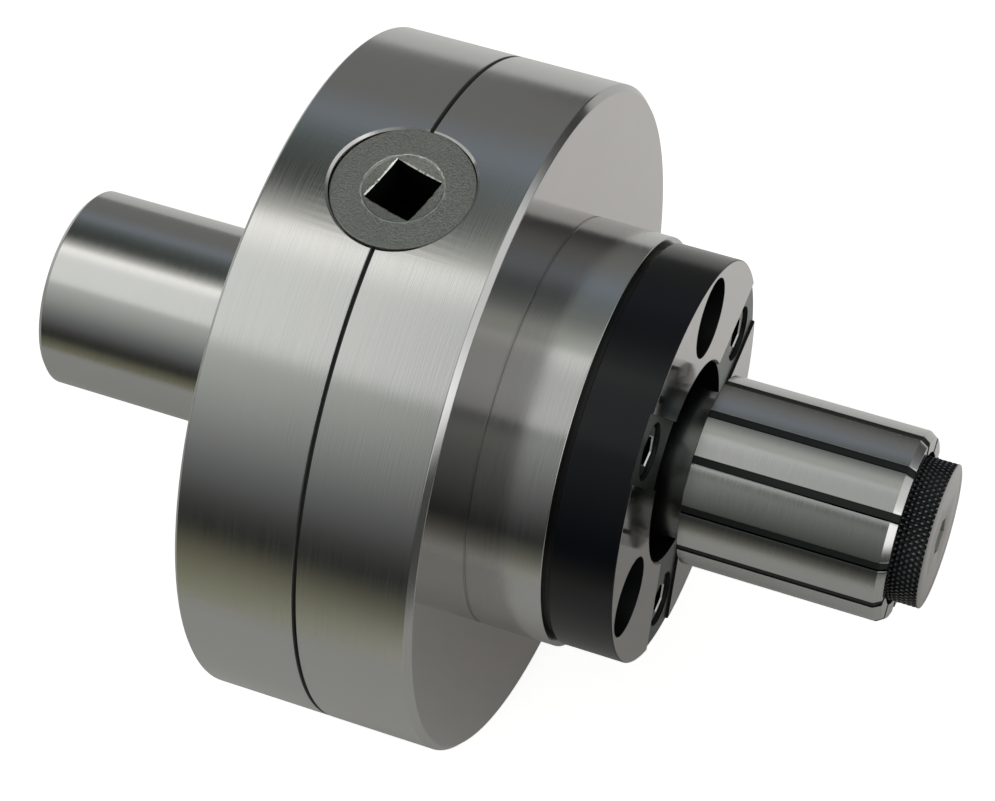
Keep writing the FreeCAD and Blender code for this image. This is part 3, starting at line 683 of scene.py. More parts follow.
@dataclass(frozen=True)
class CapScrew:
    """Socket-head cap screw; its thread is a plain cylinder."""

    thread_r: float
    head_r: float
    head: float
    slip: float = 0.02
    thread_chamfer: float = 0.5
    under_edge: float = 0.1
    # Round front edge of the head as (back from its face, in from its side)
    shoulder: tuple[Point, ...] = ((0.5, 0.0), (0.25, 0.1), (0.06, 0.35), (0.0, 0.7))
    key_chamfer: float = 0.25
    # Key hole as shares of the head: half its width, its depth, and the tip of its cone
    key_r: float = 0.5
    key_depth: float = 0.5
    key_tip: float = 0.62
    sides: int = 48

    @property
    def hole_r(self) -> float:
        """Radius of the hole for the thread."""
        return self.thread_r + self.slip

    def mesh(self, seat: float, tip: float) -> bmesh.types.BMesh:
        """The screw on the mandrel axis as one skin of rings, with a round shoulder and a key hole.

        Args:
            seat: Where the head sits.
            tip: Where the thread ends.

        Returns:
            The bmesh, in millimetres.
        """
        top = seat + self.head
        end, head_r = self.thread_chamfer, self.head_r
        key = self.key_r * head_r
        outside = [(tip, 0), (tip, self.thread_r - end), (tip + end, self.thread_r), (seat, self.thread_r)]
        outside += [(seat, head_r - self.under_edge), (seat + self.under_edge, head_r)]
        outside += [(top - back, head_r - inward) for back, inward in self.shoulder]
        rings = [(x, r, False) for x, r in outside]
        rings += [(top, key + self.key_chamfer, True), (top - self.key_chamfer, key, True)]
        rings += [(top - self.key_depth * self.head, key, True), (top - self.key_tip * self.head, 0, False)]
        return ring_stack(rings, self.sides, 6)


# Screws of the flange and the stop ring, and of the arbor
M6 = CapScrew(3.0, 5.0, 6.0)
M8 = CapScrew(4.0, 6.0, 8.0)
# Angles of the wrench holes with the arbor screws, and of the relief slots with the ring screws
WRENCH_ANGLES = (30, 150, 270)
SLOT_ANGLES = (-30, 90, 210)


@dataclass(frozen=True)
class Reach:
    """Where a node of the frame starts and ends, in millimetres."""

    low: float
    high: float
    radius: float

    @classmethod
    def of(cls, frame: dict, node: str) -> "Reach":
        """Measure one node of the loaded frame.

        Args:
            frame: The loaded frame.
            node: Name of the node.

        Returns:
            Its reach.
        """
        spots = [v.co / MM for v in frame["nodes"][node].data.vertices]
        xs = [p.x for p in spots]
        return cls(min(xs), max(xs), max(math.hypot(p.y, p.z) for p in spots))


@dataclass
class Assembly:
    """A group of pieces built on the frame."""

    frame: dict
    pieces: list[bpy.types.Object] = field(default_factory=list)

    def seat(self, made: bpy.types.Object, body: str, nodes: Sequence[str], slot: str) -> None:
        """Put a finished piece on its body in place of its nodes.

        Args:
            made: The finished piece.
            body: Body that carries it.
            nodes: Nodes that it stands for.
            slot: Material slot of the record; not used.
        """
        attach(made, body)
        if nodes:
            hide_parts(*nodes)
        self.pieces.append(made)
        LOG.info("%s on %s, %d faces", made.name, body, len(made.data.polygons))

    def keep(self, node: str, finish: Finish) -> None:
        """Give a node of the frame its finish and leave its shape.

        Args:
            node: Name of the node.
            finish: Its finish.
        """
        made = self.frame["nodes"][node]
        made.data.materials.clear()
        made.data.materials.append(finish.material())
        made.data.shade_smooth()
        made.data.set_sharp_from_angle(angle=math.radians(SHARP))
        LOG.info("%s keeps its shape", node)


@dataclass
class ChuckBody(Assembly):
    """Shank, the two halves of the flange, and the hub."""

    edge: float = 0.12
    rim_chamfer: float = 1.1
    rear_chamfer: float = 0.6
    shank_r: float = 19.05
    shank_chamfer: float = 1.0
    shank_collar: float = 2.0
    groove: float = 0.8
    groove_depth: float = 1.6
    chamber_r: float = 43.0
    wall: float = 4.4
    front_wall: float = 39.0
    front_chamber_r: float = 25.7
    bush_r: float = 17.5
    bush_back: float = 0.4
    hub_undercut: float = 0.12
    hub_undercut_w: float = 0.3
    hub_chamfer: float = 0.15
    flange_seat_r: float = 36.52
    nut_bore_r: float = 21.05
    tube_bore_r: float = 13.2
    draw_back: float = -11.5
    centre_bore_r: float = 5.0
    plug_r: float = 8.0
    plug_length: float = 8.0
    screw_circle: float = 53.0
    screw_count: int = 6
    screw_start: float = 30.0
    screw_head_r: float = 5.3
    screw_seat: float = 6.6
    screw_end: float = 37.0
    arbor_circle: float = 29.75
    arbor_hole_back: float = 38.0
    arbor_hole_front: float = 50.0
    key_seat_r: float = 12.8
    key_seat_z: float = 59.0
    key_bore_r: float = 12.74
    key_room_r: float = 14.3
    key_room_z: float = 44.3
    tooth_room_r: float = 13.0
    tooth_room_z: float = 20.0
    key_flare: float = 0.45
    washer_room: float = 1.04
    # The cutter of the pinion's seat runs on past its flare, then straight up
    flare_past: float = 1.5
    cut_over: float = 6.0
    screw_sides: int = 48
    thread_sides: int = 32

    def __post_init__(self) -> None:
        """Read the main sizes from the frame."""
        shank = Reach.of(self.frame, "shank")
        rear = Reach.of(self.frame, "rear_body")
        front = Reach.of(self.frame, "front_body")
        hub = Reach.of(self.frame, "hub")
        self.shank_end = shank.low
        self.split = rear.high
        self.face = front.high
        self.rim_r = rear.radius
        self.hub_r = hub.radius
        self.hub_end = hub.high
        self.arbor_seat = Reach.of(self.frame, "arbor").low
        self.washer_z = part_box("pinion_washer")[0].z / MM

    def build(self) -> None:
        """Build the four pieces."""
        self.shank()
        self.rear_half()
        self.front_half()
        self.hub()

    def key_space(self) -> bmesh.types.BMesh:
        """Cutter for the pinion, from the gear chamber out through the rim.

        Returns:
            The bmesh, in millimetres.
        """
        low, ledge, top = self.tooth_room_z, self.key_room_z, self.washer_z + self.washer_room
        steps = [(0, low), (self.tooth_room_r, low), (self.tooth_room_r, ledge), (self.key_room_r, ledge)]
        steps += [(self.key_room_r, top), (self.key_bore_r, top)]
        steps += [(self.key_bore_r, self.key_seat_z), (self.key_seat_r, self.key_seat_z)]
        rings = [upright_ring(r, z, KEYED) for r, z in steps]
        seat = upright_ring(self.key_seat_r, 0, KEYED)
        inner = [Vector((p.x, p.y, self.rim_height(p.y) - self.key_flare)) for p in seat]
        flare = upright_ring(self.key_seat_r + self.key_flare, 0, KEYED)
        outer = [Vector((p.x, p.y, self.rim_height(p.y))) for p in flare]
        past = [b + (b - a) * self.flare_past for a, b in zip(inner, outer)]
        end = self.rim_r + self.cut_over
        rings += [inner, past, [Vector((p.x, p.y, end)) for p in past], [Vector((0, 0, end))]]
        mesh = skin(rings)
        mesh.transform(Matrix.Translation(Vector((self.split, 0, 0))))
        return mesh

    def rim_height(self, side: float) -> float:
        """Height of the round flange surface above a place to the side."""
        return math.sqrt(self.rim_r**2 - side**2)

    def screw_holes(self) -> bmesh.types.BMesh:
        """Cutter for the counterbores in the shoulder face.

        Returns:
            The bmesh, in millimetres.
        """
        outline = [(-OVER, 0), (-OVER, self.screw_head_r), (self.screw_seat, self.screw_head_r)]
        outline += [(self.screw_seat, M6.hole_r), (self.screw_end, M6.hole_r), (self.screw_end, 0)]
        step = 360 / self.screw_count
        spots = [out_at(self.screw_circle, self.screw_start + step * k) for k in range(self.screw_count)]
        return joined([turned(outline, self.screw_sides, spot) for spot in spots])

    def steel_rule(self, centre: Vector, normal: Vector) -> int:
        """Slot for a face of the flange.

        Args:
            centre: Middle of the face in millimetres.
            normal: Its normal.

        Returns:
            0 for round and rear ground faces, 1 in the groove with painted shade, 2 on the flat front.
        """
        out = math.hypot(centre.y, centre.z)
        if abs(centre.x - self.split) <= self.groove / 2 + NEAR and out < self.rim_r - 10 * NEAR:
            return 1
        if normal.x > FLAT and centre.x > self.face - 2 * NEAR:
            return 2
        return 0

    def shank(self) -> None:
        """Shank with its bores."""
        end, chamfer = self.shank_end, self.shank_chamfer
        outline = [(end, self.plug_r), (end, self.shank_r - chamfer), (end + chamfer, self.shank_r)]
        collar = self.shank_r + self.shank_collar
        outline += [(0, self.shank_r), (0, collar), (self.wall, collar), (self.wall, self.bush_r)]
        outline += [(self.bush_back, self.bush_r), (self.bush_back, self.tube_bore_r)]
        outline += [(self.draw_back, self.tube_bore_r), (self.draw_back, self.centre_bore_r)]
        outline += [(end + self.plug_length, self.centre_bore_r), (end + self.plug_length, self.plug_r)]
        made = to_object("shank_ground", turned(soften(outline, self.edge), FINE))
        smooth(made)
        dress(made, [GROUND])
        self.seat(made, "body", ["shank"], "ground_steel")

    def rear_half(self) -> None:
        """Rear half of the flange with its shoulder face."""
        rim = self.split - self.groove / 2
        low = self.rim_r - self.groove_depth
        inner = self.shank_r + self.shank_collar
        outline = [(0, inner), (0, self.rim_r - self.rear_chamfer), (self.rear_chamfer, self.rim_r)]
        outline += [(rim, self.rim_r), (rim, low), (self.split, low), (self.split, self.chamber_r)]
        outline += [(self.wall, self.chamber_r), (self.wall, inner)]
        made = to_object("flange_rear", turned(soften(outline, self.edge), FINE))
        carve(made, [self.key_space(), self.screw_holes()])
        smooth(made)
        dress(made, [GROUND, GROOVE, FACE_GROUND], self.steel_rule)
        self.seat(made, "body", ["rear_body"], "ground_steel")

    def front_half(self) -> None:
        """Front half of the flange."""
        rim = self.split + self.groove / 2
        low = self.rim_r - self.groove_depth
        outline = [(self.split, self.front_chamber_r), (self.split, low), (rim, low), (rim, self.rim_r)]
        outline += [(self.face - self.rim_chamfer, self.rim_r), (self.face, self.rim_r - self.rim_chamfer)]
        outline += [(self.face, self.nut_bore_r), (self.front_wall, self.nut_bore_r)]
        outline += [(self.front_wall, self.front_chamber_r)]
        made = to_object("flange_front", turned(soften(outline, self.edge), FINE))
        carve(made, [self.key_space(), self.arbor_holes()])
        smooth(made)
        dress(made, [GROUND, GROOVE, FACE_GROUND], self.steel_rule)
        self.seat(made, "body", ["front_body"], "ground_steel")

    def arbor_holes(self) -> bmesh.types.BMesh:
        """Cutter for the arbor screw threads.

        Returns:
            The bmesh, in millimetres.
        """
        back, front = self.arbor_hole_back, self.arbor_hole_front
        outline = [(back, 0), (back, M8.hole_r), (front, M8.hole_r), (front, 0)]
        spots = [out_at(self.arbor_circle, angle) for angle in WRENCH_ANGLES]
        return joined([turned(outline, self.thread_sides, spot) for spot in spots])

    def hub(self) -> None:
        """Hub in front of the flange."""
        low = self.hub_r - self.hub_undercut
        step = self.face + self.hub_undercut_w
        end, chamfer = self.hub_end, self.hub_chamfer
        outline = [(self.face, self.nut_bore_r), (self.face, low), (step, low), (step, self.hub_r)]
        outline += [(end - chamfer, self.hub_r), (end, self.hub_r - chamfer), (end, self.flange_seat_r)]
        outline += [(self.arbor_seat, self.flange_seat_r), (self.arbor_seat, self.nut_bore_r)]
        made = to_object("hub_ground", turned(soften(outline, self.edge), FINE))
        carve(made, [self.arbor_holes()])
        smooth(made)
        dress(made, [GROUND])
        self.seat(made, "body", ["hub"], "ground_steel")


@dataclass
class ArborAndStop(Assembly):
    """Tapered arbor, the black stop ring and their screws."""

    edge: float = 0.1
    bevel: float = 0.08
    ring_chamfer: float = 0.2
    bore_r: float = 19.05
    bore_chamfer: float = 0.4
    neck_r: float = 13.8
    neck_end: float = 76.6
    flange_r: float = 36.5
    register: float = 2.0
    cone_r: float = 15.25
    cone_angle: float = 8.0
    bolt_bore_r: float = 6.05
    tube_bore_r: float = 12.55
    tube_bore_end: float = 60.0
    circle: float = 29.75
    wrench_r: float = 7.5
    slot_w: float = 12.7
    slot_depth: float = 0.5
    slot_from: float = 5.0
    slot_to: float = 45.0
    slot_cut: float = 3.0
    hole_cut: float = 5.0
    head_room_r: float = 5.3
    ring_seat: float = 65.1
    ring_screw_length: float = 8.0
    ring_hole_back: float = 51.0
    arbor_head_room_r: float = 6.3
    arbor_seat: float = 52.0
    arbor_screw_tip: float = 39.0
    hole_back: float = 50.0
    slip: float = 0.02
    nose: float = 1.0
    hole_sides: int = 64
    thread_sides: int = 48
    # Bounds of the finishes: front faces by their normal, the ring's outer skin, the arbor's flange with
    # painted shade
    facing: float = 0.9
    outer_skin: float = 0.7
    dark_r: float = 20.0
    # Edges of the screws with painted highlight: how far back they go, and their slope by the normal
    highlight_edge: float = 0.3
    highlight_slope: tuple[float, float] = (0.15, 0.95)

    def __post_init__(self) -> None:
        """Read the main sizes from the frame."""
        ring = Reach.of(self.frame, "stop_ring")
        arbor = Reach.of(self.frame, "arbor")
        self.ring_back = ring.low
        self.ring_front = ring.high
        self.ring_r = ring.radius
        self.arbor_back = arbor.low
        self.arbor_front = arbor.high

    def build(self) -> None:
        """Build ring, arbor and screws."""
        self.stop_ring()
        self.arbor()
        self.screws("ring_screw", SLOT_ANGLES[0], M6, self.ring_seat, self.ring_back - self.ring_screw_length)
        self.screws("arbor_screw", WRENCH_ANGLES[0], M8, self.arbor_seat, self.arbor_screw_tip)

    def stop_ring(self) -> None:
        """Stop ring with slots, wrench holes and counterbores."""
        back, front, rim = self.ring_back, self.ring_front, self.ring_r
        outline = [(back, self.bore_r), (back, rim - self.ring_chamfer), (back + self.ring_chamfer, rim)]
        outline += [(front - self.ring_chamfer, rim), (front, rim - self.ring_chamfer)]
        outline += [(front, self.bore_r + self.bore_chamfer), (front - self.bore_chamfer, self.bore_r)]
        made = to_object("stop_ring_black", turned(soften(outline, self.edge), FINE))
        half = self.slot_w / 2
        floor = front - self.slot_depth
        low = Vector((floor, -half, self.slot_from))
        high = Vector((floor + self.slot_cut, half, self.slot_to))
        slots = joined([block(low, high, angle) for angle in SLOT_ANGLES])
        start, end = self.hole_back, floor + self.hole_cut
        hole = [(start, 0), (start, self.wrench_r), (end, self.wrench_r), (end, 0)]
        holes = [turned(hole, ROUND, out_at(self.circle, angle)) for angle in WRENCH_ANGLES]
        seat = [(start, 0), (start, M6.hole_r), (self.ring_seat, M6.hole_r)]
        seat += [(self.ring_seat, self.head_room_r), (end, self.head_room_r), (end, 0)]
        holes += [turned(seat, ROUND, out_at(self.circle, angle)) for angle in SLOT_ANGLES]
        carve(made, [slots, joined(holes)])
        smooth(made, bevel_mm=self.bevel)
        step = floor + self.slot_depth / 2

        def rule(centre: Vector, normal: Vector) -> int:
            """Slot for a face of the stop ring.

            Args:
                centre: Middle of the face in millimetres.
                normal: Its normal.

            Returns:
                1 on the ground front, 3 on the slot floors, 2 in the holes and the bore with painted shade, 0
                round the outside.
            """
            if normal.x > self.facing and centre.x > floor - 5 * NEAR:
                return 1 if centre.x > step else 3
            return 2 if math.hypot(centre.y, centre.z) < rim - self.outer_skin else 0

        dress(made, [BLACK, FACE_GROUND, RECESS, MILLED], rule)
        self.seat(made, "body", ["stop_ring"], "black_oxide")

    def arbor(self) -> None:
        """Flange, neck and cone of the arbor."""
        shrink = math.tan(math.radians(self.cone_angle))
        front, nose = self.arbor_front, self.nose
        end = self.cone_r - (front - self.neck_end) * shrink
        back, inside = self.ring_back, self.bore_r - self.slip
        outline = [(self.arbor_back, self.tube_bore_r), (self.arbor_back, self.flange_r)]
        outline += [(back, self.flange_r), (back, inside), (back + self.register, inside)]
        outline += [(back + self.register, self.neck_r)]
        outline += [(self.neck_end, self.neck_r), (self.neck_end, self.cone_r)]
        outline += [(front - nose, end + nose * shrink), (front, end - nose), (front, self.bolt_bore_r)]
        outline += [(self.tube_bore_end, self.bolt_bore_r), (self.tube_bore_end, self.tube_bore_r)]
        made = to_object("arbor_ground", turned(soften(outline, self.edge), FINE))
        tip, seat, top = self.arbor_screw_tip, self.arbor_seat, back + OVER
        hole = [(tip, 0), (tip, M8.hole_r), (seat, M8.hole_r), (seat, self.arbor_head_room_r)]
        hole += [(top, self.arbor_head_room_r), (top, 0)]
        holes = [turned(hole, self.hole_sides, out_at(self.circle, angle)) for angle in WRENCH_ANGLES]
        start = self.ring_hole_back
        bolt = [(start, 0), (start, M6.hole_r), (top, M6.hole_r), (top, 0)]
        holes += [turned(bolt, self.thread_sides, out_at(self.circle, angle)) for angle in SLOT_ANGLES]
        carve(made, [joined(holes)])
        smooth(made)

        def rule(centre: Vector, normal: Vector) -> int:
            """Slot for a face of the arbor.

            Args:
                centre: Middle of the face in millimetres.
                normal: Its normal; not used.

            Returns:
                1 behind the ring and 2 on the neck, both with painted shade, 0 on the cone.
            """
            if centre.x < back and math.hypot(centre.y, centre.z) > self.dark_r:
                return 1
            return 2 if back < centre.x < self.neck_end else 0

        dress(made, [GROUND, RECESS, NECK_SHADE], rule)
        self.seat(made, "body", ["arbor"], "ground_steel")

    def screws(self, node: str, start: float, screw: CapScrew, seat: float, tip: float) -> None:
        """Three cap screws round the axis, set out by a node tree.

        Args:
            node: Node that they stand for.
            start: Angle of the first one.
            screw: The kind of screw.
            seat: Where the head sits.
            tip: Where the thread ends.
        """
        template = to_object(node + "_set", screw.mesh(seat, tip))
        template.data.transform(Matrix.Translation(Vector((0, 0, self.circle * MM))))
        smooth(template)
        dress(template, [SCREW])
        ring_pattern(template, 3, start, SCREW)
        top = seat + screw.head - self.highlight_edge
        low, high = self.highlight_slope

        def rule(centre: Vector, normal: Vector) -> int:
            """Painted highlight on the slopes at the edges of head and key hole, black elsewhere."""
            return 1 if centre.x > top and low < normal.x < high else 0

        dress(template, [SCREW, GLINT], rule)
        self.seat(template, "body", [node], "black_oxide")


def finish_tree(tree: bpy.types.NodeTree, last: bpy.types.Node, given: bpy.types.Node) -> None:
    """End a geometry tree: real copies, their material, and out.

    Args:
        tree: The geometry node tree.
        last: Node that gives the geometry.
        given: The tree's input node, with a Material socket.
    """
    real = add_node(tree, "GeometryNodeRealizeInstances", None, {0: last.outputs[0]})
    links: Links = {"Geometry": real.outputs[0], "Material": given.outputs["Material"]}
    paint = add_node(tree, "GeometryNodeSetMaterial", None, links)
    add_node(tree, "NodeGroupOutput", None, {0: paint.outputs[0]})


def ring_pattern(made: bpy.types.Object, count: int, start: float, finish: Finish) -> None:
    """Repeat a piece round the mandrel axis with a node tree, then bake it.

    Args:
        made: One copy, in place at angle 0.
        count: Number of copies.
        start: Angle of the first one in degrees.
        finish: Finish that the tree sets.
    """
    tree = bpy.data.node_groups.new("ring_pattern", "GeometryNodeTree")
    face = tree.interface
    face.new_socket("Geometry", in_out="INPUT", socket_type="NodeSocketGeometry")
    number = face.new_socket("Count", in_out="INPUT", socket_type="NodeSocketInt")
    first = face.new_socket("Start", in_out="INPUT", socket_type="NodeSocketFloat")
    coat = face.new_socket("Material", in_out="INPUT", socket_type="NodeSocketMaterial")
    face.new_socket("Geometry", in_out="OUTPUT", socket_type="NodeSocketGeometry")
    given = add_node(tree, "NodeGroupInput")
    line = add_node(tree, "GeometryNodePoints", None, {"Count": given.outputs["Count"]})
    index = add_node(tree, "GeometryNodeInputIndex")
    share = calc(tree, "DIVIDE", index.outputs[0], given.outputs["Count"])
    turn = calc(tree, "MULTIPLY_ADD", share, -math.tau, given.outputs["Start"])
    spin = add_node(tree, "ShaderNodeCombineXYZ", None, {0: turn})
    links: Links = {"Points": line.outputs[0], "Instance": given.outputs["Geometry"]}
    links["Rotation"] = spin.outputs[0]
    copies = add_node(tree, "GeometryNodeInstanceOnPoints", None, links)
    finish_tree(tree, copies, given)
    step = made.modifiers.new("ring_pattern", "NODES")
    step.node_group = tree
    step[number.identifier] = count
    step[first.identifier] = -math.radians(start)
    step[coat.identifier] = finish.material()
    bake(made)


@dataclass
class SegmentedSleeve(Assembly):
    """Twelve ground segments with rubber between them."""

    count: int = 12
    first: float = 2.6
    slit: float = 1.65
    chamfer: float = 0.95
    chamfer_length: float = 1.45
    edge: float = 0.12
    cone_r: float = 15.25
    cone_start: float = 76.2
    cone_end: float = 102.5
    cone_angle: float = 8.0
    slip: float = 0.02
    pocket_r: float = 14.2
    pocket: float = 3.0
    lip: float = 5.7
    lip_r: float = 7.0
    land: float = 0.4
    soft: float = 0.07
    bevel: float = 0.05
    steps: int = 14

    def __post_init__(self) -> None:
        """Read the main sizes from the frame."""
        reach = Reach.of(self.frame, "sleeve_segment_01")
        self.back = reach.low
        self.front = reach.high
        self.radius = reach.radius

    def cone(self, x: float) -> float:
        """Radius of the cone at a place, with the slip added."""
        angle = math.radians(self.cone_angle)
        return self.cone_r - (x - self.cone_start) * math.tan(angle) + self.slip / math.cos(angle)

    def outline(self) -> Profile:
        """Closed outline of the sleeve wall.

        Returns:
            Points as (along, out) in millimetres.
        """
        back, front = self.back, self.front
        lip_front = front - self.pocket
        lip_back = lip_front - self.lip
        land = self.cone_end + self.land
        points = [(back, self.cone(back)), (back, self.radius - self.edge), (back + self.edge, self.radius)]
        points += [(front - self.chamfer_length, self.radius), (front, self.radius - self.chamfer)]
        points += [(front, self.pocket_r), (lip_front, self.pocket_r), (lip_front, self.lip_r)]
        points += [(lip_back, self.lip_r), (lip_back, self.cone(land)), (land, self.cone(land))]
        return points

    def segment_mesh(self) -> bmesh.types.BMesh:
        """One segment, with its middle at angle 0.

        Returns:
            The bmesh, in millimetres.
        """
        mesh = bmesh.new()
        outline = soften(self.outline(), self.soft, 2)
        half = math.pi / self.count
        rings = []
        for k in range(self.steps + 1):
            share = 2 * k / self.steps - 1
            ring = []
            for x, r in outline:
                turn = share * (half - math.asin(self.slit / 2 / r))
                ring.append(mesh.verts.new((x, r * math.sin(turn), r * math.cos(turn))))
            rings.append(ring)
        for one, two in zip(rings, rings[1:]):
            join(mesh, one, two)
        mesh.faces.new(rings[0])
        mesh.faces.new(rings[-1])
        bmesh.ops.recalc_face_normals(mesh, faces=mesh.faces)
        return mesh

    def build(self) -> None:
        """Build the segments and dress the rubber."""
        for k in range(self.count):
            name = f"{k + 1:02d}"
            made = to_object("segment_ground_" + name, self.segment_mesh())
            smooth(made, bevel_mm=self.bevel)
            dress(made, [GROUND])
            ring_pattern(made, 1, self.first + 360 / self.count * (k + 0.5), GROUND)
            self.seat(made, "segment_" + name, ["sleeve_segment_" + name], "ground_steel")
            self.keep("sleeve_rubber_" + name, INFILL)


@dataclass(frozen=True)
class Knurl:
    """Diamond knurl on a band that has a dense stack of rings."""

    count: int
    depth: float
    first: float
    last: float
    radius: float
    slope: float = 0.62
    peak: float = 0.68
    softness: float = 0.12
    skin_share: float = 0.98

    def cut(self, made: bpy.types.Object, finish: Finish) -> None:
        """Sink crossed spiral grooves into the band with a node tree, then bake it.

        Args:
            made: The piece.
            finish: Finish that the tree sets.
        """
        tree = bpy.data.node_groups.new("diamond_knurl", "GeometryNodeTree")
        face = tree.interface
        face.new_socket("Geometry", in_out="INPUT", socket_type="NodeSocketGeometry")
        sizes = {"Count": float(self.count), "Depth": self.depth * MM, "First": self.first * MM}
        sizes.update({"Last": self.last * MM, "Radius": self.radius * MM})
        kind = {"in_out": "INPUT", "socket_type": "NodeSocketFloat"}
        sockets = {name: face.new_socket(name, **kind) for name in sizes}
        coat = face.new_socket("Material", in_out="INPUT", socket_type="NodeSocketMaterial")
        face.new_socket("Geometry", in_out="OUTPUT", socket_type="NodeSocketGeometry")
        given = add_node(tree, "NodeGroupInput")
        links: Links = {"Geometry": given.outputs["Geometry"], "Offset": self.sink(tree, given.outputs)}
        finish_tree(tree, add_node(tree, "GeometryNodeSetPosition", None, links), given)
        step = made.modifiers.new("diamond_knurl", "NODES")
        step.node_group = tree
        for name, value in sizes.items():
            step[sockets[name].identifier] = value
        step[coat.identifier] = finish.material()
        bake(made)

    def sink(self, tree: bpy.types.NodeTree, given: Any) -> Socket:
        """How far each point of the band goes in.

        Args:
            tree: The geometry node tree.
            given: Sockets of the tree's inputs.

        Returns:
            The offset's socket.
        """
        spot = add_node(tree, "GeometryNodeInputPosition")
        x, y, z = add_node(tree, "ShaderNodeSeparateXYZ", None, {0: spot.outputs[0]}).outputs
        turn = calc(tree, "DIVIDE", calc(tree, "ARCTAN2", y, z), math.tau)
        round_way = calc(tree, "MULTIPLY", turn, given["Count"])
        ring = calc(tree, "MULTIPLY", given["Radius"], math.tau)
        slant = calc(tree, "MULTIPLY", calc(tree, "DIVIDE", x, ring), given["Count"])
        steep = calc(tree, "MULTIPLY", slant, self.slope)
        heights = []
        for sign in (1.0, -1.0):
            phase = calc(tree, "MULTIPLY_ADD", steep, sign, round_way)
            heights.append(calc(tree, "MULTIPLY", calc(tree, "PINGPONG", phase, 0.5), 2.0))
        ridge = calc(tree, "MINIMUM", *heights)
        soft = calc(tree, "SMOOTH_MIN", ridge, self.peak, self.softness)
        depth = calc(tree, "MULTIPLY", calc(tree, "SUBTRACT", self.peak, soft), given["Depth"])
        squares = [calc(tree, "MULTIPLY", part, part) for part in (y, z)]
        out = calc(tree, "SQRT", calc(tree, "ADD", *squares))
        after = calc(tree, "GREATER_THAN", x, given["First"])
        before = calc(tree, "LESS_THAN", x, given["Last"])
        outside = calc(tree, "GREATER_THAN", out, calc(tree, "MULTIPLY", given["Radius"], self.skin_share))
        where = calc(tree, "MULTIPLY", calc(tree, "MULTIPLY", after, before), outside)
        amount = calc(tree, "MULTIPLY", where, calc(tree, "MULTIPLY", depth, -1.0))
        flat = add_node(tree, "ShaderNodeCombineXYZ", None, {1: y, 2: z})
        unit = add_node(tree, "ShaderNodeVectorMath", {"operation": "NORMALIZE"}, {0: flat.outputs[0]})
        links: Links = {0: unit.outputs[0], "Scale": amount}
        return add_node(tree, "ShaderNodeVectorMath", {"operation": "SCALE"}, links).outputs[0]


@dataclass
class DrawBolt(Assembly):
    """Draw bolt with its knurled head."""

    shank_r: float = 6.0
    thread_r: float = 5.0
    thread_chamfer: float = 1.2
    thread_end: float = 56.5
    head_length: float = 7.4
    head_edge: float = 0.4
    head_chamfer: float = 0.3
    face_rim: float = 0.05
    face_step: float = 0.02
    face_ring: float = 0.7
    hex_across: float = 6.35
    hex_depth: float = 5.0
    hex_chamfer_w: float = 0.3
    hex_chamfer: float = 0.15
    hex_cone: float = 0.8
    hex_turn: float = 12.0
    band_back: float = 0.35
    band_front: float = 0.12
    band_sink: float = 0.01
    # Bounds of the finishes: the knurl's worn peaks, and the socket as a share of its width
    peak: float = 0.06
    socket_reach: float = 0.6
    sharp: float = 40.0
    knurl_count: int = 74
    knurl_depth: float = 0.42
    groove_points: int = 8
    clip_front: float = 105.4
    clip_t: float = 1.2
    clip_sink: float = 0.8
    rows: int = 44

    def __post_init__(self) -> None:
        """Read the main sizes from the frame."""
        reach = Reach.of(self.frame, "draw_bolt")
        self.back = reach.low
        self.front = reach.high
        self.head_r = reach.radius

    def build(self) -> None:
        """Build the bolt."""
        front, head_r, half = self.front, self.head_r, self.hex_across / 2
        head_back = front - self.head_length
        clip_back = self.clip_front - self.clip_t
        clip_floor = self.shank_r - self.clip_sink
        first = head_back + self.band_back
        last = front - self.band_front
        outside = [(self.back, 0), (self.back, self.thread_r - self.thread_chamfer)]
        outside += [(self.back + self.thread_chamfer, self.thread_r), (self.thread_end, self.thread_r)]
        outside += [(self.thread_end, self.shank_r), (clip_back, self.shank_r), (clip_back, clip_floor)]
        outside += [(self.clip_front, clip_floor), (self.clip_front, self.shank_r)]
        outside += [(head_back, self.shank_r), (head_back, head_r - self.head_edge)]
        band = [first + (last - first) * k / self.rows for k in range(self.rows + 1)]
        outside += [(x, head_r - self.band_sink) for x in band]
        rim = head_r - self.head_chamfer
        outside += [(front - self.face_step, rim), (front, rim - self.face_rim)]
        outside += [(front, head_r * self.face_ring)]
        rings = [(x, r, False) for x, r in outside]
        rings += [(front, half + self.hex_chamfer_w, True), (front - self.hex_chamfer, half, True)]
        rings += [(front - self.hex_depth, half, True), (front - self.hex_depth - self.hex_cone, 0, False)]
        mesh = ring_stack(rings, self.knurl_count * self.groove_points, 6, self.hex_turn)
        made = to_object("draw_bolt_knurled", mesh)
        Knurl(self.knurl_count, self.knurl_depth, first, last, head_r).cut(made, BLACK)
        smooth(made, self.sharp)

        def rule(centre: Vector, normal: Vector) -> int:
            """Slot for a face of the bolt.

            Args:
                centre: Middle of the face in millimetres.
                normal: Its normal; not used.

            Returns:
                1 on the turned front, 2 in the bare socket, 3 on the worn peaks, 0 elsewhere.
            """
            out = math.hypot(centre.y, centre.z)
            if centre.x > last - NEAR:
                return 1
            deep = out < self.hex_across * self.socket_reach and centre.x > head_back
            peak = out > head_r - self.peak and centre.x > first
            return 2 if deep else 3 if peak else 0

        dress(made, [BLACK, TURNED_FACE, SOCKET, WORN], rule)
        self.seat(made, "bolt", ["draw_bolt"], "black_oxide")
        self.keep("bolt_clip", HARD)
        self.keep("bolt_washer", HARD)


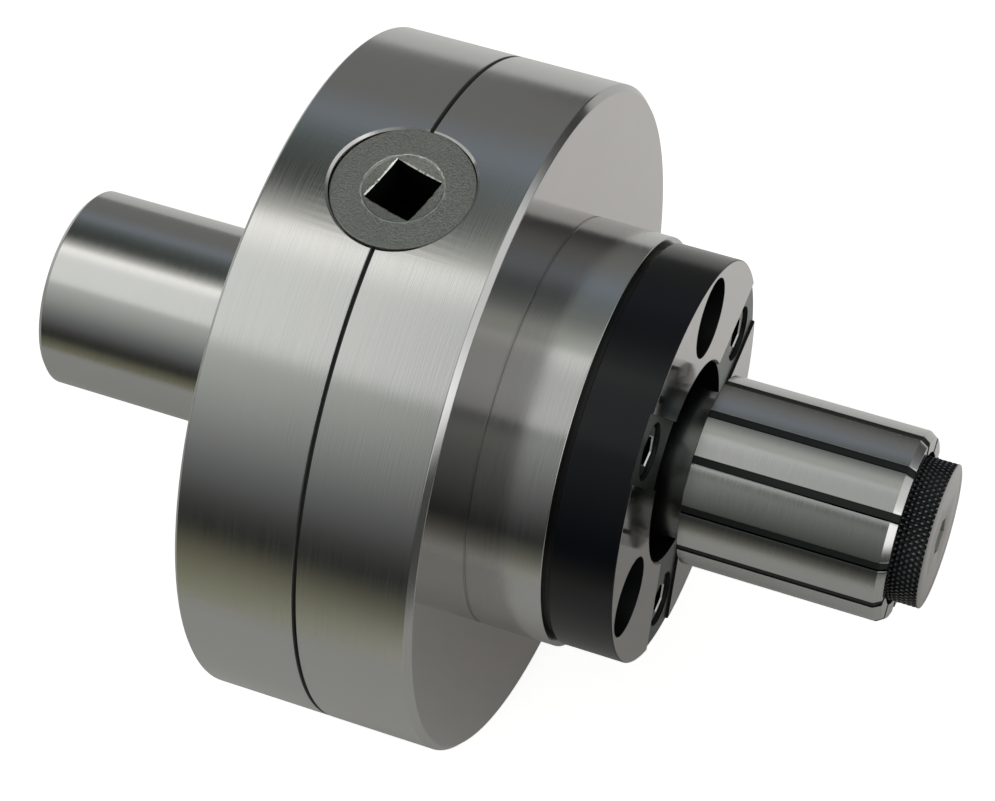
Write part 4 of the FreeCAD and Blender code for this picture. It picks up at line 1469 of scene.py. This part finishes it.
@dataclass
class KeyPinion(Assembly):
    """Pinion with a square socket, turned about the upright axis."""

    head_r: float = 12.66
    chamfer: float = 0.16
    square: float = 9.525
    depth: float = 13.0
    floor_t: float = 2.5
    turn: float = -15.0
    mouth_r: float = 7.1
    mouth_step: float = 0.28
    dish: float = 0.14
    lip_drop: float = 0.04
    burr: float = 0.24
    burr_up: float = 0.3
    burr_down: float = 0.6
    # Raggedness of the burr as (noise scale, share of its width), coarse and fine
    coarse_rag: tuple[float, float] = (6.0, 0.9)
    fine_rag: tuple[float, float] = (23.0, 0.5)
    # Bounds of the finishes: the burr at mouth and square in burr widths, its depth, and past the floor
    rim_burr: float = 1.3
    square_burr: float = 0.6
    square_top: float = 1.0
    socket_past: float = 2.0
    cut_z: float = 51.6
    groove_z: float = 53.4
    groove_half: float = 0.92
    groove_r: float = 9.65
    stem_r: float = 11.35
    stem_cut: float = 49.0
    stem_lap: float = 0.05
    flange_r: float = 13.98
    flange_top: float = 49.8
    bulge: float = 0.4
    edge_gap: float = 0.02
    wall_gap: float = 0.04
    floor_cone: float = 0.1
    weld: float = 1e-4
    sharp: float = 30.0

    def __post_init__(self) -> None:
        """Read the places from the frame."""
        low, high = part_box("pinion_washer")
        self.axis_x = (low.x + high.x) / 2 / MM
        self.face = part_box("key_pinion")[1].z / MM

    def build(self) -> None:
        """Head as one skin of rings, over the toothed end of the frame's own node."""
        head = to_object("key_pinion_head", self.head_mesh())
        smooth(head, self.sharp)
        dress(head, [SINTERED, BROACHED_SHADE, BURR_HIGHLIGHT], self.head_rule)
        teeth = to_object("key_pinion_teeth", self.teeth_mesh(self.frame["nodes"]["key_pinion"]))
        smooth(teeth, self.sharp)
        dress(teeth, [SINTERED])
        self.seat(head, "pinion", ["key_pinion"], "sintered_steel")
        self.seat(teeth, "pinion", [], "sintered_steel")
        self.keep("pinion_oring", SEAL)

    def head_rule(self, centre: Vector, normal: Vector) -> int:
        """Slot for a face of the head.

        Args:
            centre: Middle of the face in millimetres.
            normal: Its normal.

        Returns:
            0 for sintered steel, 1 inside the socket with painted shade, 2 on the burr with painted
            highlight.
        """
        x, y = centre.x - self.axis_x, centre.y
        if self.mouth_r < math.hypot(x, y) < self.mouth_r + self.rim_burr * self.burr and normal.z > 0.5:
            return 2
        spin = math.radians(self.turn)
        side = max(abs(x * math.cos(spin) + y * math.sin(spin)), abs(y * math.cos(spin) - x * math.sin(spin)))
        low, high = self.square / 2 + NEAR, self.square / 2 + self.square_burr * self.burr
        if centre.z > self.face - self.square_top and low < side < high:
            return 2
        return 1 if side <= low and centre.z > self.face - self.depth - self.socket_past else 0

    def teeth_mesh(self, node: bpy.types.Object) -> bmesh.types.BMesh:
        """The toothed end of the frame's own pinion.

        Args:
            node: The pinion of the frame, which stays as it is.

        Returns:
            Its closed mesh below the cut, in millimetres.
        """
        mesh = bmesh.new()
        mesh.from_mesh(node.data)
        mesh.transform(Matrix.Scale(1 / MM, 4))
        bmesh.ops.remove_doubles(mesh, verts=mesh.verts, dist=self.weld)
        everything = mesh.verts[:] + mesh.edges[:] + mesh.faces[:]
        plane = {"plane_co": (0, 0, self.stem_cut), "plane_no": (0, 0, 1)}
        cut = bmesh.ops.bisect_plane(mesh, geom=everything, clear_outer=True, **plane)
        edges = [e for e in cut["geom_cut"] if isinstance(e, bmesh.types.BMEdge)]
        bmesh.ops.edgeloop_fill(mesh, edges=edges)
        return mesh

    def head_mesh(self) -> bmesh.types.BMesh:
        """Skin of rings from inside the flange up over the head and down into the square.

        Returns:
            The bmesh, in millimetres.
        """
        face, head_r, stem_r = self.face, self.head_r, self.stem_r
        bottom, ledge = face - self.depth - self.floor_t, self.stem_cut - self.stem_lap
        low, high = self.groove_z - self.groove_half, self.groove_z + self.groove_half
        bulge = self.bulge * self.chamfer
        steps = [(0, bottom), (stem_r, bottom), (stem_r, ledge), (self.flange_r, ledge)]
        steps += [(self.flange_r, self.flange_top), (stem_r, self.flange_top), (stem_r, self.cut_z)]
        steps += [(head_r, self.cut_z), (head_r, low), (self.groove_r, low), (self.groove_r, high)]
        steps += [(head_r, high), (head_r, face - self.chamfer), (head_r - bulge, face - bulge)]
        steps += [(head_r - self.chamfer, face)]
        rings = [upright_ring(r, z, KEYED, self.turn) for r, z in steps]
        shelf_r = self.mouth_r - self.mouth_step
        rim, lip, shelf, edge, wall, floor = [], [], [], [], [], []
        for spot in upright_ring(1.0, 0, KEYED, self.turn):
            angle = math.atan2(spot.y, spot.x) - math.radians(self.turn)
            near = (angle + math.pi / 4) % (math.pi / 2) - math.pi / 4
            out = self.square / 2 / math.cos(near)
            ragged = self.ragged(spot)
            level = face - self.mouth_step - self.dish * (shelf_r - out)
            rim.append(spot * (self.mouth_r + ragged) + Vector((0, 0, face)))
            lip.append(spot * self.mouth_r + Vector((0, 0, face - self.lip_drop)))
            shelf.append(spot * shelf_r + Vector((0, 0, face - self.mouth_step)))
            high_edge = Vector((0, 0, level + self.burr_up * ragged))
            edge.append(spot * min(out + ragged, shelf_r - self.edge_gap) + high_edge)
            low_edge = Vector((0, 0, level - self.burr_down * ragged))
            wall.append(spot * min(out, shelf_r - self.wall_gap) + low_edge)
            floor.append(spot * out + Vector((0, 0, face - self.depth)))
        tip = [Vector((0, 0, face - self.depth - self.floor_cone))]
        mesh = skin(rings + [rim, lip, shelf, edge, wall, floor, tip])
        mesh.transform(Matrix.Translation(Vector((self.axis_x, 0, 0))))
        return mesh

    def ragged(self, spot: Vector) -> float:
        """Width of the burr at a place on the unit circle.

        Args:
            spot: The place.

        Returns:
            The width in millimetres.
        """
        width = self.burr
        for scale, share in (self.coarse_rag, self.fine_rag):
            width *= 1 + share * noise.noise(spot * scale)
        return width


@dataclass
class InnerWorks(Assembly):
    """Parts inside the body, shown as the frame has them."""

    def build(self) -> None:
        """Dress each hidden node with its own metal or rubber."""
        hard = ["half_dowel", "arbor_dowel", "draw_key", "gear_pin", "rear_race", "rear_roller", "front_race"]
        hard += ["front_roller", "pinion_washer", "ring_gear", "draw_tube", "shank_plug"]
        for node in hard:
            self.keep(node, HARD)
        for node in ("rear_bush", "front_bush", "draw_nut"):
            self.keep(node, BRONZE)
        for node in ("split_oring", "arbor_oring"):
            self.keep(node, SEAL)
        self.keep("half_screw", SCREW)


@dataclass(frozen=True)
class Bands:
    """Light round the table by height angle: 0 overhead, 90 the far side, -90 the camera's side."""

    along: float
    stops: dict[int, str]

    def ramp(self, tree: bpy.types.NodeTree, share: Socket) -> Socket:
        """Turn the bands into a colour ramp.

        Args:
            tree: The world's node tree.
            share: Socket with the angle as a share of a full turn.

        Returns:
            The colour socket.
        """
        made = add_node(tree, "ShaderNodeValToRGB", None, {0: share})
        marks = made.color_ramp.elements
        while len(marks) > 1:
            marks.remove(marks[-1])
        for k, (angle, colour) in enumerate(self.stops.items()):
            place = (angle + 180) / 360
            mark = marks[0] if k == 0 else marks.new(place)
            mark.position = place
            mark.color = linear(colour)
        return made.outputs[0]


# What the shank and flange mirror: bright ceiling, a strip past the top, a dark horizon on both sides
NEAR_SHANK = Bands(
    -0.31,
    {
        -180: "#9C9C9A",
        -142: "#8C8C8A",
        -124: "#787864",
        -110: "#605F4E",
        -98: "#1E1F1E",
        -88: "#3C3D3A",
        -72: "#68696A",
        -58: "#8A8C88",
        -44: "#A2A5A0",
        -30: "#B0B2AC",
        -4: "#AEB0AA",
        3: "#DAD8D2",
        8: "#E6E4DE",
        14: "#9A9A94",
        22: "#3C3E3C",
        30: "#2C302E",
        42: "#4A504E",
        54: "#70767C",
        66: "#686866",
        96: "#686866",
        118: "#8A8888",
        142: "#C8C8C6",
        180: "#B4B4B2",
    },
)
# What the hub mirrors: the ceiling is dimmer and the strip is spread wide
NEAR_HUB = Bands(
    -0.24,
    {
        -180: "#B8B8B6",
        -145: "#9C9D9A",
        -121: "#8C8C84",
        -109: "#5B5C52",
        -96: "#202124",
        -84: "#3D3E3D",
        -59: "#676866",
        -42: "#7C7D79",
        -20: "#524F4A",
        -8: "#4C504A",
        3: "#838681",
        16: "#9B9E95",
        28: "#7F837E",
        53: "#6F7880",
        72: "#686763",
        90: "#62615D",
        102: "#2E302E",
        114: "#454748",
        126: "#BEBEBC",
        180: "#C4C4C2",
    },
)
# What the stop ring and sleeve mirror: the strip is only a soft glow
NEAR_SLEEVE = Bands(
    -0.19,
    {
        -180: "#9C9C9A",
        -118: "#8E8E88",
        -108: "#5C5B54",
        -96: "#1A1C1C",
        -84: "#393B39",
        -58: "#5A5C59",
        -44: "#6A6C68",
        -34: "#2A2C2A",
        -20: "#4A4E48",
        2: "#484C46",
        15: "#A4A6A0",
        28: "#626664",
        40: "#4A504F",
        54: "#6E7277",
        74: "#646462",
        98: "#2E2E2C",
        112: "#282828",
        126: "#727271",
        138: "#9A9A98",
        180: "#B8B8B6",
    },
)


@dataclass
class Studio:
    """Floor, light and camera."""

    floor_z: float = -63.7
    floor_near: float = -150.0
    floor_far: float = 520.0
    floor_side: float = 480.0
    # Softbox: tilt in degrees, distance, place along the mandrel, size, and glow
    box_tilt: float = -13.0
    box_far: float = 1000.0
    box_x: float = -200.0
    box_long: float = 2000.0
    box_wide: float = 800.0
    box_glow: float = 0.45
    room_glow: float = 1.75
    # Paper: two close greys and their grain, the glow for the camera, and the one that metal mirrors,
    # which only the paper beyond the mandrel has
    paper: tuple[str, str] = ("#E2E0DE", "#E8E6E4")
    paper_grain: float = 3.0
    paper_lift: float = 0.8
    paper_mirror: float = 0.25
    paper_slope: tuple[float, float] = (15.0, 65.0)
    # Window beyond the sleeve, as parts of the mirrored direction along, up and to the side
    window: tuple[str, str] = ("#FFFFFD", "#CACAC8")
    window_sill: str = "#3A3A38"
    pane_along: tuple[float, float] = (0.62, 0.8)
    pane_height: tuple[float, float] = (0.08, 0.22)
    pane_side: tuple[float, float] = (-0.15, 0.05)
    # Camera at the place and turn that match the photograph
    eye: tuple[float, float, float] = (191.343, -286.215, 496.365)
    right: tuple[float, float, float] = (0.9258, 0.3699, -0.0783)
    up: tuple[float, float, float] = (-0.2709, 0.7933, 0.5452)
    back: tuple[float, float, float] = (0.2638, -0.4835, 0.8346)
    lens: float = 116.18
    sensor: float = 36.0
    clip: tuple[float, float] = (10.0, 20000.0)

    def build(self) -> None:
        """Build the studio."""
        self.camera()
        self.floor()
        self.softbox()
        self.room()

    def camera(self) -> None:
        """Camera at the viewing angle of the photograph."""
        data = bpy.data.cameras.new("view")
        data.lens = self.lens
        data.sensor_width = self.sensor
        data.clip_start, data.clip_end = (edge * MM for edge in self.clip)
        made = bpy.data.objects.new("view", data)
        bpy.context.scene.collection.objects.link(made)
        columns = [Vector(self.right), Vector(self.up), Vector(self.back)]
        turn = Matrix(columns).transposed().to_4x4()
        made.matrix_world = Matrix.Translation(Vector(self.eye) * MM) @ turn
        bpy.context.scene.camera = made

    def floor(self) -> None:
        """Pale paper on a table; the camera sees it as white, with the shadow left on it."""
        mesh = bmesh.new()
        side, near, far = self.floor_side, self.floor_near, self.floor_far
        places = [(-side, near), (side, near), (side, far), (-side, far)]
        mesh.faces.new([mesh.verts.new((x, y, self.floor_z)) for x, y in places])
        made = to_object("floor", mesh)
        paint = bpy.data.materials.new("pale_paper")
        paint.use_nodes = True
        tree = paint.node_tree
        tree.nodes.clear()
        spot = add_node(tree, "ShaderNodeTexCoord").outputs["Object"]
        links: Links = {"Vector": spot, "Scale": 1 / (self.paper_grain * MM), "Detail": 2.0}
        grain = add_node(tree, "ShaderNodeTexNoise", None, links)
        low, high = (linear(colour) for colour in self.paper)
        tone = mixed(tree, grain.outputs["Fac"], low, high)
        matt = add_node(tree, "ShaderNodeBsdfDiffuse", None, {"Color": tone})
        path = add_node(tree, "ShaderNodeLightPath")
        lift = calc(tree, "MULTIPLY", path.outputs["Is Camera Ray"], self.paper_lift)
        across = add_node(tree, "ShaderNodeSeparateXYZ", None, {0: spot}).outputs["Y"]
        start, end = (edge * MM for edge in self.paper_slope)
        links = {0: across, 1: start, 2: end, 4: self.paper_mirror}
        slope = add_node(tree, "ShaderNodeMapRange", None, links)
        mirror = calc(tree, "MULTIPLY_ADD", path.outputs["Is Glossy Ray"], slope.outputs[0], lift)
        glow = add_node(tree, "ShaderNodeEmission", None, {"Color": (1, 1, 1, 1), "Strength": mirror})
        both = add_node(tree, "ShaderNodeAddShader", None, {0: matt.outputs[0], 1: glow.outputs[0]})
        add_node(tree, "ShaderNodeOutputMaterial", None, {"Surface": both.outputs[0]})
        made.data.materials.append(paint)
        made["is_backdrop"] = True

    def softbox(self) -> None:
        """Long softbox overhead, a little on the camera's side."""
        data = bpy.data.lights.new("softbox", "AREA")
        data.shape = "RECTANGLE"
        data.size = self.box_long * MM
        data.size_y = self.box_wide * MM
        data.energy = self.box_glow * math.pi * data.size * data.size_y
        made = bpy.data.objects.new("softbox", data)
        bpy.context.scene.collection.objects.link(made)
        made.visible_camera = False
        turn = math.radians(self.box_tilt)
        spot = Vector((self.box_x, self.box_far * math.sin(turn), self.box_far * math.cos(turn)))
        made.matrix_world = Matrix.Translation(spot * MM) @ Matrix.Rotation(-turn, 4, "X")

    def room(self) -> None:
        """Room round the table as bands of light along the mandrel; white for the camera."""
        world = bpy.data.worlds.new("room")
        bpy.context.scene.world = world
        world.use_nodes = True
        tree = world.node_tree
        tree.nodes.clear()
        coords = add_node(tree, "ShaderNodeTexCoord")
        parts = add_node(tree, "ShaderNodeSeparateXYZ", None, {0: coords.outputs["Generated"]})
        along, side, height = parts.outputs
        share = calc(tree, "MULTIPLY_ADD", calc(tree, "ARCTAN2", side, height), 1 / math.tau, 0.5)
        bands = NEAR_SHANK.ramp(tree, share)
        for last, band in ((NEAR_SHANK, NEAR_HUB), (NEAR_HUB, NEAR_SLEEVE)):
            toward = between(tree, along, (last.along, band.along))
            bands = mixed(tree, toward, bands, band.ramp(tree, share))
        near, far = (linear(colour) for colour in self.window)
        glass = mixed(tree, between(tree, side, self.pane_side), near, far)
        window = mixed(tree, between(tree, height, self.pane_height), linear(self.window_sill), glass)
        lit = mixed(tree, between(tree, along, self.pane_along), bands, window)
        path = add_node(tree, "ShaderNodeLightPath")
        sky = add_node(tree, "ShaderNodeBackground", None, {"Color": lit, "Strength": self.room_glow})
        white = add_node(tree, "ShaderNodeBackground", None, {"Color": (1, 1, 1, 1), "Strength": 1.0})
        links: Links = {0: path.outputs["Is Camera Ray"], 1: sky.outputs[0], 2: white.outputs[0]}
        seen = add_node(tree, "ShaderNodeMixShader", None, links)
        add_node(tree, "ShaderNodeOutputWorld", None, {"Surface": seen.outputs[0]})


def corners(pair: tuple[Vector, Vector]) -> list[list[float]]:
    """Two corners as plain lists."""
    return [[round(v, 6) for v in corner] for corner in pair]


def main() -> None:
    """Build the mandrel and its studio."""
    logging.basicConfig(level=logging.INFO, format="%(message)s")
    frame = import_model()
    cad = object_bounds()
    for kind in (ChuckBody, ArborAndStop, SegmentedSleeve, DrawBolt, KeyPinion, InnerWorks):
        part = kind(frame)
        part.build()
        LOG.info("%s built, %d pieces", kind.__name__, len(part.pieces))
    Studio().build()
    scene = bpy.context.scene
    scene.view_settings.view_transform = "Standard"
    {"cad": corners(cad), "visual": corners(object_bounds())}


if __name__ == "__main__":
    main()
